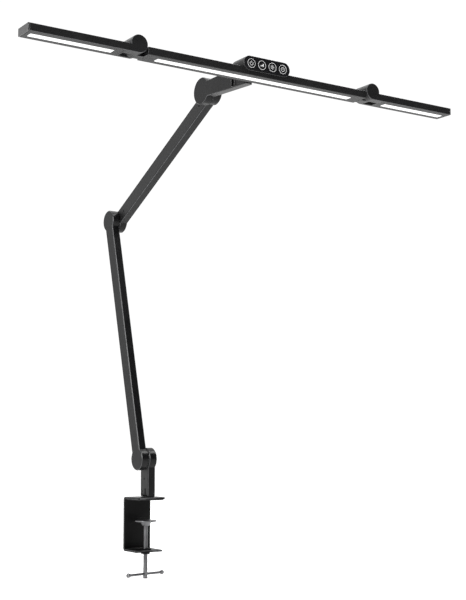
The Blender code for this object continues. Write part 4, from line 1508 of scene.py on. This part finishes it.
@dataclass
class LightBar(SubAssembly):
    """The centre section, its control pod and the two hinged wings.

    Outlines are measured from the middle of the bar's lower front edge.
    """

    depth: float = 0.035
    height: float = 0.012
    wall: float = 0.0015
    edge: float = 0.0009
    bezel: float = 0.0018
    hinge_x: float = 0.223
    hinge_radius: float = 0.0138
    fork_slot: float = 0.0205
    fork_wall: float = 0.003
    plug: float = 0.018
    pin: float = 0.0025
    pod_half: float = 0.044
    pod_radius: float = 0.01175
    pod_wall: float = 0.0018
    ring_radius: float = 0.0070
    line: float = 0.00055

    def __post_init__(self) -> None:
        """Find the bar's place and the planes of its hinges."""
        self.x0 = middle("centre_housing", 0)
        self.y0, self.z0 = span("centre_housing", 1)[0], span("centre_housing", 2)[0]
        self.centre_end = span("centre_housing", 0)[1] - self.x0
        self.tongue = tuple(y - self.y0 for y in span("right_hinge_tongue", 1))
        self.ceiling = self.height - self.wall

    def from_front(self) -> Stand:
        """Outlines in X and Z, depths along Y."""
        return along_y(self.x0, self.z0, self.y0)

    def from_above(self) -> Stand:
        """Outlines in X and Y, heights along Z."""
        return along_z(self.x0, self.y0, self.z0)

    def build(self) -> None:
        """The centre, the pod with its keys, and both wings."""
        self.build_centre()
        self.build_pod()
        for symbol in Symbol:
            self.build_key(symbol)
        for side, name in ((-1, "left"), (1, "right")):
            self.build_tongue(side, name)
            self.build_wing(side, name)

    def build_light(self, name: str) -> None:
        """The bezel with its window, and the diffuser in it.

        Args:
            name: the section's name.
        """
        (x0, x1), (y0, y1), (z0, z1) = (span(f"{name}_bezel", axis) for axis in range(3))
        outline = soften(rectangle((x0, y0), (x1, y1)), 0.0006).points
        made = self.fine(f"{name}_bezel", slab(outline, z0, z1, 0.0003).at(along_z()))
        (x0, x1), (y0, y1), (low, high) = (span(f"{name}_diffuser", axis) for axis in range(3))
        around = soften(rectangle((x0 - GAP, y0 - GAP), (x1 + GAP, y1 + GAP)), 0.0012).points
        shape(made, Join.CUT, slab(around, z0 - PAST, z1 + PAST).at(along_z()))
        outline = soften(rectangle((x0, y0), (x1, y1)), 0.0007).points
        self.fine(f"{name}_diffuser", slab(outline, low, high, 0.0005).at(along_z()))

    def build_centre(self) -> None:
        """A hollow box section with forked ends and an opening for the pod."""
        end = self.centre_end
        outline = soften(rectangle((0, 0), (self.depth, self.height)), self.edge, True, 6).points
        box = slab(outline, -end, end, 0.0004).at(along_x(self.y0, self.z0, self.x0))
        housing = self.fine("centre_housing", box)
        inner = end - self.wall
        hollow = block((-inner, self.wall, -PAST), (inner, self.depth - self.wall, self.ceiling))
        front, back = self.tongue
        fork = block((-end - PAST, front - GAP, self.bezel), (end + PAST, back + GAP, self.ceiling))
        shape(housing, Join.CUT, hollow.at(self.from_above()), fork.at(self.from_above()))
        pod_back = span("pod_housing", 1)[1] - self.y0
        hole = slab(self.pod_outline(-GAP), -PAST, pod_back + GAP).at(self.from_front())
        shape(housing, Join.CUT, hole)
        for node in ("yoke_screw_left", "yoke_screw_right"):
            drill = rod(SMALL_SHANK + GAP, self.y0 + self.depth / 2, self.y0 + self.depth + PAST, 0.0, 24)
            shape(housing, Join.CUT, drill.at(along_y(middle(node, 0), middle(node, 2))))
        self.build_light("centre")

    def pod_outline(self, inset: float = 0.0) -> Array:
        """The pod from the front: straight top and bottom with full round ends."""
        x, z = middle("pod_housing", 0) - self.x0, middle("pod_housing", 2) - self.z0
        return stadium((x, z), self.pod_half - inset, self.pod_radius - inset, 40)

    def build_pod(self) -> None:
        """The pod's shell and the gloss face in front of it."""
        low, high = (y - self.y0 for y in span("pod_housing", 1))
        pod = self.fine("pod_housing", slab(self.pod_outline(), low, high, 0.0008, 6).at(self.from_front()))
        hollow = slab(self.pod_outline(self.pod_wall), low - PAST, high - self.pod_wall)
        shape(pod, Join.CUT, hollow.at(self.from_front()))
        low, high = (y - self.y0 for y in span("touch_fascia", 1))
        self.fine("touch_fascia", slab(self.pod_outline(), low, high, 0.0006, 6).at(self.from_front()))

    def build_key(self, symbol: Symbol) -> None:
        """A printed ring on the face with a generic sign inside, in the glowing diffuser finish: painted glow on
        the print.

        Args:
            symbol: which sign, whose value is its place along the pod.
        """
        x, z = middle("pod_housing", 0) + symbol.value, middle("pod_housing", 2)
        face = span("touch_fascia", 1)[0]
        at = along_y(x, z, face)
        low, high, line = -0.00012, -0.00002, self.line
        ring = arc((0, 0), self.ring_radius, 0, math.tau, 72)[:-1]
        lines: list[Skin] = [stroke(ring, line * 0.8, low, high, True)]
        if symbol is Symbol.POWER:
            open_ring = arc((0, -0.0003), 0.0029, math.radians(130), math.radians(410), 32)
            lines.append(stroke(open_ring, line, low, high))
            lines.append(stroke(np.linspace((0, 0.0008), (0, 0.0038), 4), line, low, high))
        elif symbol is Symbol.LEVELS:
            for step, rise in enumerate((0.0014, 0.0028, 0.0042)):
                across = (step - 1) * 0.0023
                bar = np.linspace((across, -0.0021), (across, rise - 0.0021), 4)
                lines.append(stroke(bar, 0.0012, low, high))
        elif symbol is Symbol.BRIGHTNESS:
            lines.append(stroke(arc((0, 0), 0.0014, 0, math.tau, 24)[:-1], line, low, high, True))
            for turn in np.arange(8) * math.pi / 4:
                ray = np.array([math.cos(turn), math.sin(turn)])
                lines.append(stroke(np.linspace(ray * 0.0027, ray * 0.0040, 3), line * 0.8, low, high))
        else:
            lines.append(stroke(arc((0, 0), 0.0033, 0, math.tau, 40)[:-1], line * 0.8, low, high, True))
            lines.append(stroke(np.array([(0, 0.0020), (0, 0.0), (0.0016, 0.0)]), line * 0.8, low, high))
        name = f"key_{symbol.name.lower()}"
        # The print takes the glowing diffuser finish, so the rings and signs glow: painted light, as the print is
        # no lamp.
        self.detail(name, "touch_fascia", "diffuser_white", *(skin.at(at) for skin in lines))

    def build_tongue(self, side: int, name: str) -> None:
        """The tongue between a wing's cheeks: a disc, its web, and a plug inside the centre section.

        Args:
            side: -1 for the left one and 1 for the right one.
            name: left or right.
        """
        x, radius, face = self.hinge_x, self.hinge_radius, self.centre_end + GAP
        meet = math.asin((self.height - radius) / radius)
        low, high, root = self.bezel + GAP, self.ceiling - GAP, self.centre_end - self.plug
        disc = arc((x, radius), radius, -math.pi / 2, math.pi - meet, 64)
        web = [(face, self.height), (face, high), (root, high), (root, low), (face, low), (face, 0)]
        outline = np.concatenate([disc, web]) * (side, 1)
        made = self.fine(f"{name}_hinge_tongue", slab(outline, *self.tongue, 0.0005).at(self.from_front()))
        bore = rod(self.pin + GAP, self.tongue[0] - PAST, self.tongue[1] + PAST, 0.0, 40)
        shape(made, Join.CUT, bore.at(along_y(self.x0 + side * x, self.z0 + radius, self.y0)))

    def build_wing(self, side: int, name: str) -> None:
        """A hollow bar that grows out of a forked disc on the hinge, with its cap, pin and light.

        Args:
            side: -1 for the left one and 1 for the right one.
            name: left or right.
        """
        x, radius = self.hinge_x, self.hinge_radius
        node = f"{name}_wing"
        outer = span(f"{node}_housing", 0)
        end = max(abs(outer[0] - self.x0), abs(outer[1] - self.x0))
        meet = math.asin((self.height - radius) / radius)
        disc = arc((x, radius), radius, meet, math.pi * 3 / 2, 72)
        outline = np.concatenate([disc, [(end, 0), (end, self.height)]]) * (side, 1)
        box = slab(outline, 0, self.depth, self.edge, 6)
        housing = self.fine(f"{node}_housing", box.at(self.from_front()))
        front, back = self.tongue
        xs = sorted((side * (x - radius - PAST), side * (x + self.fork_slot)))
        slot = block((xs[0], front - GAP, -PAST), (xs[1], back + GAP, radius * 2 + PAST))
        xs = sorted((side * (x + self.fork_slot + self.fork_wall), side * (end + PAST)))
        pocket = block((xs[0], self.wall, -PAST), (xs[1], self.depth - self.wall, self.ceiling))
        low, high = span(f"{node}_hinge_pin", 1)
        at = along_y(self.x0 + side * x, self.z0 + radius)
        bore = rod(self.pin + GAP, low - GAP, high + PAST, 0.0, 40).at(at)
        shape(housing, Join.CUT, slot.at(self.from_above()), pocket.at(self.from_above()), bore)
        self.fine(f"{node}_hinge_pin", rod(self.pin, low, high, 0.0004, 40).at(at))
        low, high = span(f"{node}_end_cap", 0)
        outline = soften(rectangle((0, 0), (self.depth, self.height)), self.edge, True, 6).points
        self.fine(f"{node}_end_cap", slab(outline, low, high, 0.0005).at(along_x(self.y0, self.z0)))
        self.build_light(node)


# Studio ---------------------------------------------------------------------------------------------


@dataclass
class Studio:
    """Camera, pale floor and soft light."""

    camera_place: Point = (-1.0720, -1.8858, 0.1128)
    camera_turn: Point = (math.pi / 2 + 0.1131, 0.0, -0.587)
    lens: float = 72.0
    floor_size: float = 30.0
    floor_glow: float = 0.52
    behind: float = 1.05
    before: float = 0.06
    aside: float = 0.12

    def build(self) -> None:
        """Set up the scene round the object."""
        self.build_camera()
        self.build_floor()
        self.build_world()
        self.soft_box("top", (0.2, 0.6, 2.6), (0, 0, 0.3), (3.0, 2.4), 26)
        self.soft_box("front", (1.3, -0.75, 2.5), (0, -0.05, 0.1), (1.0, 0.6), 34)
        self.soft_box("edge_strip", (-2.75, -1.2, 1.35), (0, -0.1, 0.3), (0.9, 1.7), 80)

    def build_camera(self) -> None:
        """A long lens without shift or depth of field."""
        data = bpy.data.cameras.new("camera")
        data.lens, data.sensor_width = self.lens, 36.0
        data.clip_start, data.clip_end = 0.05, 50.0
        camera = bpy.data.objects.new("camera", data)
        camera.location, camera.rotation_euler = self.camera_place, self.camera_turn
        bpy.context.scene.collection.objects.link(camera)
        bpy.context.scene.camera = camera

    def build_floor(self) -> None:
        """A wide matt floor just under the lowest point."""
        half, z = self.floor_size / 2, float(CAD_BOX[0][2]) - 0.0005
        made = mesh_object("floor", [slab(rectangle((-half, -half), (half, half)), z - 0.01, z)])
        material = bpy.data.materials.new("pale_floor")
        tree = Tree(material)
        cloud = tree.noise(0.4, 3)
        tree.surface(
            Base_Color=tree.blend(cloud, (0.90, 0.90, 0.90), (0.92, 0.92, 0.92)),
            Roughness=0.85 + 0.1 * cloud,
            Emission_Color=(1, 1, 1, 1),
            Emission_Strength=self.floor_glow,
            Normal=tree.bump(tree.noise(0.003, 2), 0.00005),
        )
        made.data.materials.append(material)

    def build_world(self) -> None:
        """Light from all round, brightest behind the object and from its left, and dim from the front."""
        world = bpy.data.worlds.new("studio")
        bpy.context.scene.world = world
        tree = Tree(world)
        direction = tree.add("ShaderNodeTexCoord").outputs["Generated"]
        split = tree.add("ShaderNodeSeparateXYZ", None, {"Vector": direction})
        back = Value(tree, split.outputs["Y"]).within(-0.35, 0.3)
        left = (0 - Value(tree, split.outputs["X"])).within(0.2, 0.9)
        around = self.before + (self.behind - self.before) * back + self.aside * left * (1 - back)
        seen = Value(tree, tree.add("ShaderNodeLightPath").outputs["Is Camera Ray"])
        strength = around + (self.behind - around) * seen
        light = tree.add("ShaderNodeBackground", None, {"Color": (1, 1, 1, 1), "Strength": strength})
        tree.add("ShaderNodeOutputWorld", None, {"Surface": light.outputs[0]})

    def soft_box(
        self, name: str, place: Point, target: Point, size: tuple[float, float], power: float
    ) -> None:
        """A rectangular light that faces a target.

        Args:
            name: the light's name.
            place: its middle.
            target: what it points to.
            size: width and height.
            power: in watts.
        """
        data = bpy.data.lights.new(name, "AREA")
        data.shape, data.size, data.size_y, data.energy = "RECTANGLE", size[0], size[1], power
        light = bpy.data.objects.new(name, data)
        light.location = place
        away = Vector(place) - Vector(target)
        light.rotation_euler = away.to_track_quat("Z", "Y").to_euler()
        bpy.context.scene.collection.objects.link(light)


def dress_hidden(nodes: Sequence[str]) -> None:
    """Give the frame nodes that stay a finish that fits their slot."""
    for node in nodes:
        made = frame["nodes"][node]
        made.data.materials.clear()
        made.data.materials.append(FINISHES[SLOT_OF[node]].material())
        LOG.info("%s: kept from the frame", node)


def main() -> None:
    """Build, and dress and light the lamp."""
    logging.basicConfig(level=logging.INFO, format="%(name)s: %(message)s")
    scene = bpy.context.scene
    scene.view_settings.view_transform = "Standard"
    scene.view_settings.look = "None"
    assemblies = [
        Clamp(),
        Post(),
        Arm(name="lower_arm", start="shoulder", end="elbow", side=1),
        Arm(name="upper_arm", start="elbow", end="head_tilt", side=-1),
        Pivots(),
        Head(),
        LightBar(),
    ]
    for assembly in assemblies:
        assembly.build()
        assembly.dress()
    replaced = {node for assembly in assemblies for piece_made in assembly.made for node in piece_made[3]}
    dress_hidden(sorted(set(frame["nodes"]) - replaced))
    Studio().build()


if __name__ == "__main__":
    main()
